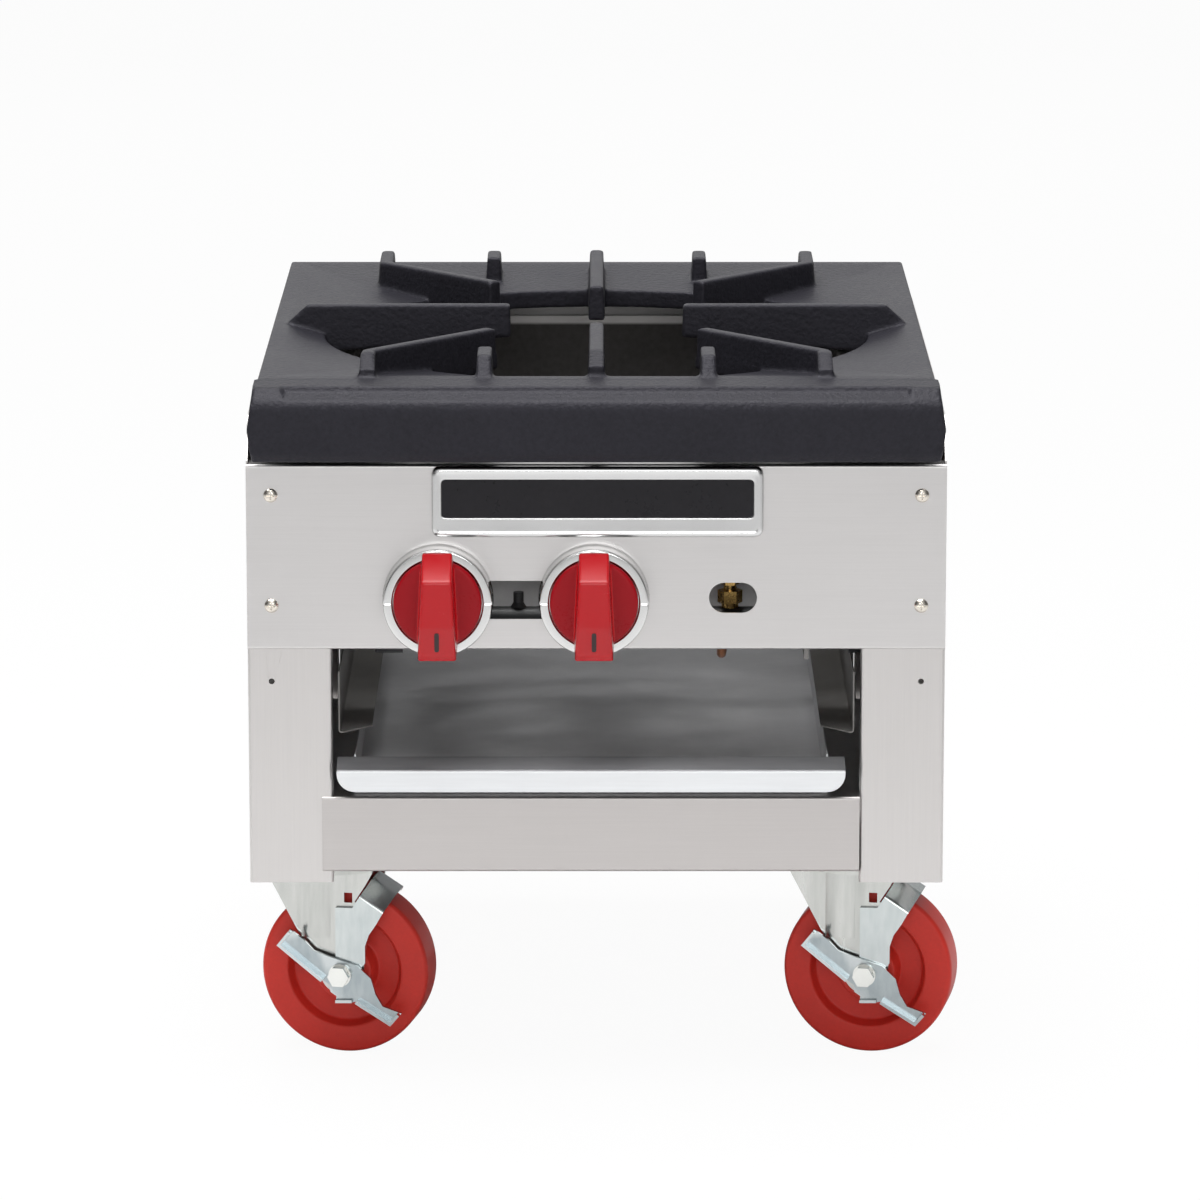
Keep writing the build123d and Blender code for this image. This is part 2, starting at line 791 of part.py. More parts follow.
# The cap on the manifold's end, its test plug and the elbow to the supply pipe
def pipe_fittings():
    outside = pipe_radius + fitting_wall
    cap = rod_x(manifold_y, manifold_height, outside, manifold_left - 6, manifold_left + 12)
    cap -= rod_x(manifold_y, manifold_height, pipe_radius + thread_gap, manifold_left, manifold_left + 13)
    top = manifold_height + pipe_radius
    plug_top = top + 10
    plug = joined([
        rod_z(plug_x, manifold_y, plug_thread_radius, manifold_height + pipe_bore, top + 1),
        turned_z([(0, top), (5.4, top), (3.4, top + 3), (3.4, plug_top), (0, plug_top)], plug_x, manifold_y),
    ])
    engagement = 10.0
    inner_end = pipe_radius + 6
    outer_end = inner_end + engagement
    arm = supply_x - outer_end
    socket = pipe_radius + thread_gap
    elbow = joined([
        rod_x(manifold_y, manifold_height, outside, arm, supply_x),
        rod_y(supply_x, manifold_height, outside, manifold_y, manifold_y + outer_end),
        Pos(supply_x, manifold_y, manifold_height) * Sphere(outside),
    ])
    elbow = elbow.cut(
        rod_x(manifold_y, manifold_height, pipe_bore, arm - 1, supply_x),
        rod_y(supply_x, manifold_height, pipe_bore, manifold_y, manifold_y + outer_end + 1),
        Pos(supply_x, manifold_y, manifold_height) * Sphere(pipe_bore),
        rod_x(manifold_y, manifold_height, socket, arm - 1, supply_x - inner_end),
        rod_y(supply_x, manifold_height, socket, manifold_y + inner_end, manifold_y + outer_end + 1),
    )
    return Compound([cap, plug, elbow])


def supply_pipe():
    start = manifold_y + pipe_radius + 6
    end = coupling_rear - coupling_thread
    pipe = rod_y(supply_x, manifold_height, pipe_radius, start, end)
    return pipe - rod_y(supply_x, manifold_height, pipe_bore, start - 1, end + 1)


def inlet_coupling():
    end = coupling_rear - coupling_thread
    coupling = rod_y(supply_x, manifold_height, coupling_radius, coupling_front, coupling_rear)
    return coupling.cut(
        rod_y(supply_x, manifold_height, pipe_radius + thread_gap, coupling_front - 1, end),
        rod_y(supply_x, manifold_height, coupling_bore, end - 1, coupling_rear + 1),
    )


# Two plates on the back of the control panel that the manifold passes through
def manifold_brackets():
    brackets = []
    low = manifold_height - 15
    high = manifold_height + 18
    rear = manifold_y + 18
    front = panel_bottom_flange + touch
    over = panel_bottom + sheet + fold_radius
    for x in (manifold_left + 24, supply_x - 58):
        outline = [(sheet, over), (front, over), (front, low), (rear, low), (rear, high), (sheet, high)]
        plate = slab_yz(outline, x - 1.5, x + 1.5)
        foot = block((x - 1.5, sheet, over), (x + 13, sheet + 2.5, high))
        hole = rod_x(manifold_y, manifold_height, pipe_radius + bolt_clearance, x - 3, x + 3)
        brackets.append(joined([plate, foot]) - hole)
    return Compound(brackets)


def valve_body(x):
    z = control_height
    body = [(0, valve_front), (7.5, valve_front), (7.5, valve_front + 6), (valve_radius, valve_front + 8),
            (valve_radius, valve_rear - 12), (8.5, valve_rear - 8), (8.5, valve_rear), (0, valve_rear)]
    nipple = rod_z(x, manifold_y, valve_nipple_radius, manifold_height + pipe_bore, z)
    collar = hex_z(x, manifold_y, 17, manifold_height + pipe_radius + 0.6, z)
    solid = joined([turned_y(body, x, z), nipple, collar])
    solid -= rod_y(x, z, stem_radius + running_gap, valve_front - 1, stem_rear)
    return solid


def orifice_hoods():
    hoods = []
    for x in (left_knob_x, right_knob_x):
        nut = hex_y(x, control_height, 12.7, valve_rear, valve_rear + 9)
        radius = hood_radius - 1
        tip = [(0, valve_rear + 8), (radius, valve_rear + 8), (radius, hood_rear), (2, hood_rear + 4),
               (0, hood_rear + 4)]
        hoods.append(joined([nut, turned_y(tip, x, control_height)]))
    return Compound(hoods)


def valve_stem(x):
    return rod_y(x, control_height, stem_radius, stem_front, stem_rear - touch)


def pilot_valve():
    top = manifold_height + pipe_radius
    outlet_z = (pilot_hex_bottom + pilot_hex_top) / 2
    body = joined([
        rod_z(pilot_x, manifold_y, pilot_screw_radius, manifold_height + pipe_bore, pilot_hex_bottom + 1),
        rod_z(pilot_x, manifold_y, pilot_screw_radius + 1.4, top, pilot_hex_bottom + 1),
        hex_z(pilot_x, manifold_y, pilot_hex, pilot_hex_bottom, pilot_hex_top),
        rod_z(pilot_x, manifold_y, pilot_screw_radius, pilot_hex_top - 1, pilot_screw_top),
        hex_z(pilot_x, manifold_y, 11.0, pilot_hex_top + 4, pilot_hex_top + 7),
        rod_y(pilot_x, outlet_z, 5.0, manifold_y, manifold_y + 14),
    ])
    slot_low = (pilot_x - 6, manifold_y - 0.6, pilot_screw_top - 1.5)
    slot_high = (pilot_x + 6, manifold_y + 0.6, pilot_screw_top + 1)
    return body - block(slot_low, slot_high)


# The pilot line: down under the front liner, back, and up between two burner rings
def pilot_tube():
    outlet_z = (pilot_hex_bottom + pilot_hex_top) / 2
    head_z = ring_bottom + 8
    rise_y = pilot_head_y - support_width / 2 - 2 * pilot_tube_radius
    rise_x = math.sqrt(pilot_circle ** 2 - (opening_centre_y - rise_y) ** 2)
    reach = math.dist((rise_x, rise_y), (pilot_head_x, pilot_head_y))
    share = (reach - pilot_head_radius) / reach
    down_y = front_liner_y - 12
    points = [
        (pilot_x, manifold_y + 14, outlet_z),
        (pilot_x, down_y - 1, outlet_z),
        (pilot_x - 5, down_y, pilot_line_dip),
        (pilot_x - 4, down_y + 42, pilot_line_dip - 1),
        (rise_x, rise_y - 2, pilot_line_dip + 20),
        (rise_x, rise_y, head_z),
        (rise_x + share * (pilot_head_x - rise_x), rise_y + share * (pilot_head_y - rise_y), head_z),
    ]
    path = FilletPolyline(*points, radius=(8, 14, 24, 20, 5))
    start = Plane(origin=path @ 0, z_dir=path % 0)
    return sweep(start * Circle(pilot_tube_radius), path=path)


def pilot_burner():
    x = pilot_head_x
    y = pilot_head_y
    half = pilot_foot / 2
    foot = block((x - half, y - half, ring_bottom), (x + half, y + half, ring_bottom + 2))
    return joined([foot, rod_z(x, y, pilot_head_radius, ring_bottom, pilot_head_top)])


# ---- knobs, bezels, nameplate and screws

def knob_bezels():
    depth = -bezel_depth
    floor = -(knob_disc_back - 2)
    rim = bezel_face_radius - knob_gap
    wall = bezel_radius - bezel_slope
    outline = [(bezel_hole_radius, 0), (bezel_radius, 0), (bezel_radius, -1), (wall + bezel_slope / 4, -3),
               (wall, depth + bezel_edge), (wall - bezel_edge / 3, depth + bezel_edge / 3),
               (wall - bezel_edge, depth), (bezel_face_radius + knob_gap, depth),
               (rim, depth + 2 * knob_gap), (rim, floor), (bezel_hole_radius, floor)]
    bezels = []
    for x in (left_knob_x, right_knob_x):
        ring = turned_y(outline, x, control_height)
        for side in (-1, 1):
            span = sorted((side * (bezel_face_radius + 2 * knob_gap), side * (bezel_radius + 1)))
            low = (x + span[0], depth - 1, control_height - bezel_groove)
            ring -= block(low, (x + span[1], depth + bezel_groove_depth, control_height + bezel_groove))
        bezels.append(ring)
    return Compound(bezels)


# The knob: a disc in the bezel, a hub on the stem and a wedge grip that points down at rest
def knob(x):
    z = control_height
    back = -knob_disc_back
    front = -knob_disc_front
    radius = knob_disc_radius
    disc = [(0, back), (radius - 1, back), (radius, back - 1),
            (radius, front + 1), (radius - 1.2, front), (0, front)]
    hub = rod_y(x, z, knob_hub_radius, back - 1, -knob_hub_back)
    side_view = [(-16, 33.8), (-18.5, 34.2), (-42.5, 19.5), (-grip_depth, -11),
                 (-40.5, -29.5), (-35.5, -34.5), (-16, -32)]
    length = slab_yz([(y, z + up) for y, up in side_view], x - 20, x + 20)
    top = grip_top_width / 2
    bottom = grip_bottom_width / 2
    front_view = [(x - top, z + 37), (x + top, z + 37), (x + bottom, z - 36), (x - bottom, z - 36)]
    plan = front_plane(-14) * make_face(Polyline(*front_view, close=True))
    wedge = extrude(plan, 32, taper=1.5)
    grip = length & wedge
    solid = joined([turned_y(disc, x, z), hub, grip])
    return solid - rod_y(x, z, stem_radius, stem_front, 0)


def nameplate():
    centre = (plate_bottom + plate_top) / 2
    outline = RectangleRounded(plate_width, plate_top - plate_bottom, plate_corner)
    plate = extrude(front_plane(0, plate_centre_x, centre) * outline, plate_thickness)
    front_edges = plate.edges().filter_by_position(Axis.Y, -plate_thickness - 0.01, -plate_thickness + 0.01)
    plate = fillet(front_edges, 1.6)
    field_height = plate_field_top - plate_field_bottom
    field_centre = (plate_field_top + plate_field_bottom) / 2
    field = RectangleRounded(plate_width - 2 * plate_rim, field_height, plate_corner - 3)
    floor_plane = front_plane(plate_field_depth - plate_thickness, plate_centre_x, field_centre)
    return plate - extrude(floor_plane * field, plate_thickness)


# Pan-head screws that hold the control panel to the columns
def panel_screws():
    screws = []
    for side in (-1, 1):
        for height in screw_heights:
            x = side * screw_x
            shank = rod_y(x, height, screw_radius, -1, screw_length)
            radius = screw_head_radius
            top = -screw_head_height
            head = [(0, 0), (radius, 0), (radius, -0.9), (radius - 1.2, -2.1), (radius - 2.8, top), (0, top)]
            screw = joined([shank, turned_y(head, x, height)])
            for across, up in ((2.6, 0.45), (0.45, 2.6)):
                screw -= block((x - across, top - 1, height - up), (x + across, -1.0, height + up))
            screws.append(screw)
    return Compound(screws)


# ---- drip tray

def drip_tray():
    floor = rail_top + tray_gap
    mid = tray_side_shift
    pan_half = tray_pan_width / 2
    lip_half = tray_width / 2
    front = tray_lip_crest_y
    pan = block((mid - pan_half, front, floor), (mid + pan_half, tray_rear, floor + tray_wall))
    pan -= block((mid - pan_half + tray_sheet, front - 1, floor + tray_sheet),
                 (mid + pan_half - tray_sheet, tray_rear - tray_sheet, floor + tray_wall + 1))
    # the front wall rises to a crest, then folds forward and down into the lip
    middle = tray_sheet / 2
    fold = [
        (front + middle, floor),
        (front + middle, tray_lip_crest - middle),
        (tray_lip_y + middle, tray_lip_top - middle),
        (tray_lip_y + middle, tray_lip_bottom),
    ]
    lip = folded_along_x(fold, mid - lip_half, mid + lip_half, tray_sheet)
    # the front wall below the crest is only as wide as the pan
    for side in (-1, 1):
        span = sorted((mid + side * pan_half, mid + side * (lip_half + 1)))
        lip -= block((span[0], front - 0.2, floor - 1), (span[1], front + 3, tray_lip_crest - 3))
    # rounded lower corners of the lip
    corner = tray_lip_corner
    for side in (-1, 1):
        edge = mid + side * lip_half
        centre_x = edge - side * corner
        span = sorted((centre_x, edge + side))
        low = (span[0], tray_lip_y - 1, tray_lip_bottom - 1)
        square = block(low, (span[1], tray_lip_y + 3, tray_lip_bottom + corner))
        lip -= square - rod_y(centre_x, tray_lip_bottom + corner, corner, tray_lip_y - 2, tray_lip_y + 4)
    return joined([pan, lip])


# ---- top grate

# A wire round the opening as four arcs whose ends face the plate's corners
def opening_wire(radius, z):
    arcs = []
    for i in range(4):
        angles = [math.radians(45 + 90 * i + turn) for turn in (0, 45, 90)]
        points = [(radius * math.cos(a), opening_centre_y + radius * math.sin(a), z) for a in angles]
        arcs.append(ThreePointArc(*points))
    return Wire(arcs)


# A wire along the plate's rim, drawn in by inset
def rim_wire(inset, z):
    x = grate_half_width - inset
    rear = grate_rear - inset
    front = grate_front + inset
    corners = [(x, rear, z), (-x, rear, z), (-x, front, z), (x, front, z)]
    return Wire.make_polygon([Vector(*c) for c in corners], close=True)


# The solid between the rim and the round opening, which both faces of the plate follow
def dish(inset, top, radius, bottom):
    return Solid.make_loft([rim_wire(inset, top), opening_wire(radius, bottom)], ruled=True)


# A finger: a bar with draft along a plan line, its top cut to the side view that y0..y1 limit
def finger_bar(points, radius=None):
    line = Polyline(*points) if radius is None else FilletPolyline(*points, radius=radius)
    plan = Pos(0, 0, finger_under_outer) * trace(line, line_width=finger_width)
    return extrude(plan, finger_top - finger_under_outer, taper=finger_draft)


# The slanted front end of a finger: everything in front of and above the slope goes
def front_slope(start, end, height):
    return slab_yz([(start, finger_top), (end, height), (end, 0), (end - 60, 0), (end - 60, finger_top + 5),
                    (start, finger_top + 5)], -grate_half_width, grate_half_width)


def grate_fingers():
    centre = opening_centre_y
    back_end = corner_finger_rear
    front_end = grate_front + 4
    fingers = []
    fingers.append(finger_bar([(0, centre + centre_finger_reach), (0, back_end + 4)]))
    centre_front = finger_bar([(0, centre - centre_finger_reach), (0, front_end - 6)])
    fingers.append(centre_front - front_slope(front_end + 33, front_end + 4, finger_top - 6))
    for side in (-1, 1):
        rib = finger_bar([(side * side_finger_reach, centre), (side * (side_finger_end + 10), centre)])
        start = side * (side_finger_end - 15)
        stop = side * (side_finger_end + 30)
        low_end = grate_top - 0.5
        slope = [(start, finger_top), (side * side_finger_end, low_end), (stop, low_end),
                 (stop, finger_top + 5), (start, finger_top + 5)]
        rib -= slab_xz(slope, centre - 20, centre + 20)
        outer = sorted((side * (side_finger_end - 2), side * (side_finger_end + 40)))
        rib -= block((outer[0], centre - 20, lip_bottom), (outer[1], centre + 20, finger_top + 5))
        fingers.append(rib)
        tip_x, tip_y = corner_finger_tip
        tip_x *= side
        bend_x = side * corner_bend_x
        rear = [(tip_x, centre + tip_y), (bend_x, grate_rear - corner_bend_rear), (bend_x, back_end)]
        fingers.append(finger_bar(rear, radius=9))
        front = [(tip_x, centre - tip_y), (bend_x, grate_front + corner_bend_front), (bend_x, front_end - 6)]
        bar = finger_bar(front, radius=9)
        fingers.append(bar - front_slope(front_end + 23, front_end, finger_top - 8))
        x = side * small_finger_x
        stop = back_end + 1
        fingers.append(finger_bar([(x, stop - small_finger_rear_length), (x, stop)]))
        bar = finger_bar([(x, front_end - 6), (x, front_end + small_finger_front_length)])
        fingers.append(bar - front_slope(front_end + 12, front_end, grate_top + 2))
    return fingers


# The hollow under the fingers: a cone, so that each finger is shallower towards its tip
def finger_undercut():
    reach = opening_radius + 1
    outline = [(0, lip_bottom), (reach, lip_bottom), (reach, finger_under_outer),
               (side_finger_reach, finger_under_inner), (0, finger_under_inner)]
    return turned_z(outline, 0, opening_centre_y)


# The lip's rounded nose, as points (y, z) from its front face up to the slope behind it
def lip_nose():
    steps = 4
    points = []
    for i in range(steps + 1):
        turn = math.radians(lip_nose_turn * i / steps)
        y = lip_front + lip_nose_radius * (1 - math.cos(turn))
        points.append((y, lip_nose_height + lip_nose_radius * math.sin(turn)))
    return points


def grate_lip():
    rear = grate_front + 8
    inner = lip_front + lip_wall
    under = lip_nose_height + lip_nose_radius - lip_wall
    outline = lip_nose() + [
        (0, lip_slope_start), (grate_front + 3, grate_top), (rear, grate_top), (rear, under + 4),
        (0, under + 4), (inner, under - 4), (inner, lip_bottom),
        (lip_front + 3.5, lip_bottom), (lip_front, lip_bottom + 6),
    ]
    lip = slab_yz(outline, -lip_half_width, lip_half_width)
    # seen from the front, the lip is widest half way down
    waist = lip_half_width - lip_waist
    middle = (lip_bottom + opening_edge) / 2
    high = opening_edge + 2
    right_edge = [(waist, lip_bottom - 1), (lip_half_width, middle),
                  (waist, high), (waist, grate_top + 1)]
    front_view = right_edge + [(-x, z) for x, z in reversed(right_edge)]
    lip = lip & slab_xz(front_view, lip_front - 1, rear + 1)
    # behind the columns' line the lip is as wide as the plate
    for side in (-1, 1):
        span = sorted((side * grate_half_width, side * (lip_half_width + 1)))
        lip -= block((span[0], grate_front, lip_bottom - 1), (span[1], rear + 2, grate_top + 1))
    # a shallow channel across the slope that runs out at the nose
    back = lip_channel_back
    front = lip_front + lip_channel_front
    floor = lip_slope_start - lip_channel_depth
    run_out = lip_nose_height + 2 * lip_nose_radius / 3
    channel = [(back, grate_top + 1), (back, floor), (front, run_out), (front, grate_top + 1)]
    return lip - slab_yz(channel, -lip_channel_half, lip_channel_half)


def top_grate():
    half = grate_half_width
    plate = block((-half, grate_front, side_top), (half, grate_rear, grate_top))
    # the top face runs from the flat rim down to the opening
    plate -= dish(grate_rim, grate_top + 0.001, opening_radius, opening_edge)
    plate -= rod_z(0, opening_centre_y, opening_radius, side_top - 1, grate_top + 1)
    # the underside is hollow, with a skirt all round and a wall round the opening
    inside = half - grate_skirt
    front = grate_front + grate_skirt
    rear = grate_rear - grate_skirt
    ceiling = grate_top - grate_wall
    wall_radius = opening_radius + grate_wall
    hollow = block((-inside, front, side_top - 1), (inside, rear, ceiling))
    hollow -= dish(grate_skirt, ceiling, wall_radius, opening_edge - grate_wall)
    hollow -= rod_z(0, opening_centre_y, wall_radius, opening_bottom, ceiling + 1)
    plate -= hollow
    fingers = joined(grate_fingers()) - finger_undercut()
    limits = block((2 - half, lip_front, side_top), (half - 2, grate_rear - 2, finger_top + 1))
    return joined([plate, grate_lip(), fingers & limits])


# ---- casters

def caster_bolt_places(x, y):
    across = caster_bolt_spacing[0] / 2
    along = caster_bolt_spacing[1] / 2
    return [(x + i * across, y + j * along) for i in (-1, 1) for j in (-1, 1)]


# A flat ring that the balls run on
def race_ring(z0, z1):
    low = race_radius - race_width / 2
    high = race_radius + race_width / 2
    return turned_z([(low, z0), (high, z0), (high, z1), (low, z1)], 0, 0)


# The fixed plate with its cup and the upper race
def caster_plate_part():
    across, along = caster_plate_size
    plate = extrude(Pos(0, 0, plate_bottom_height) * RectangleRounded(across, along, 8), caster_plate)
    top = plate_bottom_height + 1
    rim = plate_bottom_height - cup_depth
    inner = cup_radius - cup_wall
    outline = [(inner, rim + 1), (cup_radius - 2.0, rim), (cup_radius, rim + 2.4),
               (cup_radius, top), (inner, top)]
    cup = turned_z(outline, 0, 0)
    race = race_ring(upper_race_height, top)
    part = joined([plate, cup, race])
    part -= rod_z(0, 0, kingpin_radius, 100, 160)
    for x, y in caster_bolt_places(0, 0):
        part -= rod_z(x, y, caster_bolt_radius + bolt_clearance, rim, base_plate_height + 1)
    return part


def caster_kingpin():
    top = crown_bottom - touch
    low = top - kingpin_head
    radius = kingpin_head_radius
    head = turned_z([(0, low), (radius - 2, low), (radius, low + 2), (radius, top), (0, top)], 0, 0)
    return joined([rod_z(0, 0, kingpin_radius, top - 1, base_plate_height - bolt_clearance), head])


def caster_balls():
    height = lower_race_height + ball_gap + ball_radius
    balls = []
    for i in range(ball_count):
        balls.append(Rot(0, 0, 360 * i / ball_count) * Pos(race_radius, 0, height) * Sphere(ball_radius))
    return balls


# One cheek of the fork, flat, in the wheel's plane
def cheek(y0, y1):
    x = trail
    top = crown_bottom + 0.5
    boss = fork_boss_radius
    outline = [(-cheek_left, top), (cheek_right, top), (x + boss, axle_height + 3), (x + boss, axle_height),
               (x - boss, axle_height), (x - boss - fork_boss_flare, axle_height + 3)]
    plate = slab_xz(outline, y0, y1)
    return joined([plate, rod_y(x, axle_height, boss, y0, y1)])


def caster_fork(braked):
    crown = rod_z(0, 0, crown_radius, crown_bottom, crown_bottom + crown_thickness)
    race = race_ring(crown_bottom + 1, lower_race_height)
    web = block((-cheek_left, -cheek_outer, crown_bottom), (cheek_right, cheek_outer, crown_bottom + 3))
    solids = [crown, web, race, cheek(-cheek_outer, -cheek_inner), cheek(cheek_inner, cheek_outer)]
    # a half-round rib pressed outward stiffens each cheek
    rib_radius = 18.2
    rib_height = 3.0
    rib_x = trail - 17.7
    limits = block((rib_x - 12, -cheek_outer - rib_height - 1, axle_height + 24),
                   (rib_x + 12, -cheek_outer + 0.5, crown_bottom - 2))
    rib_y = rib_radius - rib_height - cheek_outer
    rib = rod_z(rib_x, rib_y, rib_radius, axle_height, crown_bottom) & limits
    solids.append(rib)
    solids.append(mirror(rib, Plane.XZ))
    fork = joined(solids)
    tools = [
        rod_z(0, 0, kingpin_radius + running_gap, crown_bottom - 1, lower_race_height + 1),
        rod_y(trail, axle_height, axle_radius, -cheek_outer - 1, cheek_outer + 1),
        rod_z(0, 0, kingpin_head_radius + 1, crown_bottom - 40, crown_bottom - 0.01),
    ]
    if braked:
        low = (trail + 1.8, -cheek_outer - 1, axle_height + 48.8)
        tools.append(block(low, (trail + 7.4, -cheek_inner + 1, axle_height + 55.6)))
        # the brake shoe passes over the cheek's edge through a notch
        notch = [(9, 49.5), (16, 60.5), (21.5, 70.3), (60, 70.3), (60, 37.4), (28.4, 37.4)]
        points = [(trail + a, axle_height + b) for a, b in notch]
        tools.append(slab_xz(points, -cheek_outer - 1, -cheek_inner + 1))
    return fork.cut(*tools)


def caster_wheel():
    half_rim = wheel_width / 2
    half_web = web_width / 2
    half_hub = hub_width / 2
    bore = bushing_radius + running_gap
    one_side = [
        (bore, half_hub), (hub_radius - 1.5, half_hub), (hub_radius, half_hub - 1.5),
        (hub_radius + 2.5, half_web), (recess_radius - 3.5, half_web), (recess_radius - 1.5, half_web + 1.5),
        (recess_radius, half_rim - 0.8), (recess_radius + 0.8, half_rim), (wheel_radius - 3.2, half_rim),
        (wheel_radius - 0.8, half_rim - 1.8), (wheel_radius, half_rim - 4.2),
    ]
    outline = one_side + [(radius, -y) for radius, y in reversed(one_side)]
    return turned_y(outline, trail, axle_height)


# The axle bolt, its nut and washers, and the bushing that the wheel turns on
def caster_axle(braked):
    x = trail
    z = axle_height
    stack = (brake_sheet + touch) + (brake_sheet + 2 * touch) if braked else 0
    seat = -cheek_outer - stack - (0.1 if braked else 0)
    head_back = seat - washer_thickness
    bushing = rod_y(x, z, bushing_radius, -cheek_inner, cheek_inner) - rod_y(x, z, axle_radius, -30, 30)
    washer = rod_y(x, z, washer_radius, head_back, seat) - rod_y(x, z, axle_radius, -60, 0)
    bolt = joined([
        rod_y(x, z, axle_radius, head_back - 1, cheek_outer + axle_nut + 2),
        hex_y(x, z, axle_flats, head_back - axle_head, head_back),
    ])
    nut = hex_y(x, z, axle_flats, cheek_outer, cheek_outer + axle_nut) - rod_y(x, z, axle_radius, 0, 60)
    return Compound([bushing, washer, bolt, nut])


# The sliding plate of the wheel brake, with a shoe that reaches over the tread
def brake_plate():
    x = trail
    z = axle_height
    back = -cheek_outer - touch
    front = back - brake_sheet
    outline = [(-3.8, 8), (-3.8, 45.6), (9.5, 45.9), (12.6, 53.2), (28.6, 42.8), (24.4, 35.3),
               (19.1, 27.4), (16.5, 19.6), (16.5, 8), (9.5, 0), (9.5, -6), (6, -9.5), (-6, -9.5), (-9.5, -6),
               (-9.5, 4)]
    plate = slab_xz([(x + a, z + b) for a, b in outline], front, back)
    slot_radius = axle_radius + 0.2
    plate -= rod_y(x, z, slot_radius, front - 1, back + 1)
    plate -= block((x - slot_radius, front - 1, z), (x + slot_radius, back + 1, z + brake_travel + 0.3))
    plate -= rod_y(x, z + brake_travel + 0.3, slot_radius, front - 1, back + 1)
    # the shoe, a strip that arches over the tread
    angle = math.radians(brake_shoe_angle)
    along = (math.sin(angle), 0, -math.cos(angle))
    shoe_plane = Plane(origin=(x - brake_shoe_shift, 0, z), x_dir=(0, 1, 0), z_dir=along)
    middle = (front + back) / 2
    shoe_tip = wheel_radius + brake_travel + brake_shoe_rise
    line = FilletPolyline((middle, 46), (middle, 57), (-12, 68.5), (5, 69.5), (13, shoe_tip), radius=3.5)
    shoe = extrude(shoe_plane * trace(line, line_width=brake_sheet), amount=9.6, both=True)
    return joined([plate, shoe])


# The two-ended brake lever that turns on the axle bolt
def brake_lever():
    x = trail
    z = axle_height
    back = -cheek_outer - brake_sheet - 3 * touch
    front = back - brake_sheet
    outline = [
        (-32.8, 31.4), (-41.2, 22.0), (-26.0, 10.3), (-12.3, -3.4), (-7.4, -6.9), (-7.4, -11.8),
        (-3.4, -14.7), (-3.9, -18.0), (7.4, -19.1), (10.3, -18.6), (21.0, -23.5), (27.9, -30.4),
        (33.8, -34.3), (40.7, -27.0), (27.9, -22.1), (23.5, -13.7), (21.0, -2.9), (12.3, 5.9),
        (2.5, 9.3), (-7.4, 12.7), (-17.2, 16.7), (-24.0, 24.5),
    ]
    lever = slab_xz([(x + a, z + b) for a, b in outline], front, back)
    solids = [lever]
    # flanges folded outward along the lower edges and at both ends
    for start, end in (((-41.2, 22.0), (-12.3, -3.4)), ((10.3, -18.6), (33.8, -34.3)),
                       ((-33.2, 31.0), (-41.2, 22.0)), ((33.8, -34.3), (40.3, -27.4))):
        length = math.dist(start, end)
        tilt = math.degrees(math.atan2(end[1] - start[1], end[0] - start[0]))
        strip = block((0, front - brake_lever_flange, 0), (length, front + 0.5, 2.0))
        solids.append(Pos(x + start[0], 0, z + start[1]) * Rot(0, -tilt, 0) * strip)
    solids.append(block((x - 3.9, front - 2.5, z - 19.0), (x + 7.4, front + 0.5, z - 17.0)))
    lever = Rot(0, -brake_lever_tilt, 0) * (Pos(-x, 0, -z) * joined(solids))
    return Pos(x, 0, z) * lever - rod_y(x, z, axle_radius + running_gap, front - 1, back + 1)


def caster_bolts():
    bolts = []
    for side in (-1, 1):
        for y in (caster_front_y, caster_rear_y):
            for bx, by in caster_bolt_places(side * caster_x, y):
                web = base_plate_height + base_sheet
                bolts.append(joined([
                    hex_z(bx, by, caster_bolt_flats, plate_bottom_height - 5.3, plate_bottom_height),
                    rod_z(bx, by, caster_bolt_radius, plate_bottom_height - 1, web + 9),
                ]))
                nut = hex_z(bx, by, caster_bolt_flats, web, web + 6.5)
                bolts.append(nut - rod_z(bx, by, caster_bolt_radius, web - 1, web + 8))
    return Compound(bolts)


def keep(name, shape):
    parts[name] = shape


def build_body():
    keep("left_side_panel", side_panel(-1))
    keep("right_side_panel", side_panel(1))
    keep("back_panel", back_panel())
    keep("control_panel", control_panel())
    keep("front_lower_rail", front_lower_rail())
    keep("rear_lower_rail", rear_lower_rail())
    keep("left_base_channel", base_channel(-1))
    keep("right_base_channel", base_channel(1))
    keep("left_liner", side_liner(-1))
    keep("right_liner", side_liner(1))
    keep("rear_liner", rear_liner())
    keep("front_liner", front_liner())
    keep("burner_supports", burner_supports())
    keep("nameplate", nameplate())
    keep("panel_screws", panel_screws())
    keep("drip_tray", drip_tray())
    keep("top_grate", top_grate())


def build_gas_train():
    keep("burner_outer", burner([outer_ring_radius], left_knob_x, outer_elbow_y))
    keep("burner_inner", burner([middle_ring_radius, inner_ring_radius], right_knob_x, inner_elbow_y))
    keep("left_air_shutter", air_shutter(left_knob_x, 90))
    keep("right_air_shutter", air_shutter(right_knob_x, 170))
    keep("manifold", manifold())
    keep("pipe_fittings", pipe_fittings())
    keep("supply_pipe", supply_pipe())
    keep("inlet_coupling", inlet_coupling())
    keep("manifold_brackets", manifold_brackets())
    keep("orifice_hoods", orifice_hoods())
    keep("pilot_valve", pilot_valve())
    keep("pilot_tube", pilot_tube())
    keep("pilot_burner", pilot_burner())
    keep("knob_bezels", knob_bezels())
    for name, x in (("left", left_knob_x), ("right", right_knob_x)):
        keep(name + "_valve_body", valve_body(x))
        keep(name + "_valve_stem", valve_stem(x))
        keep(name + "_knob", knob(x))


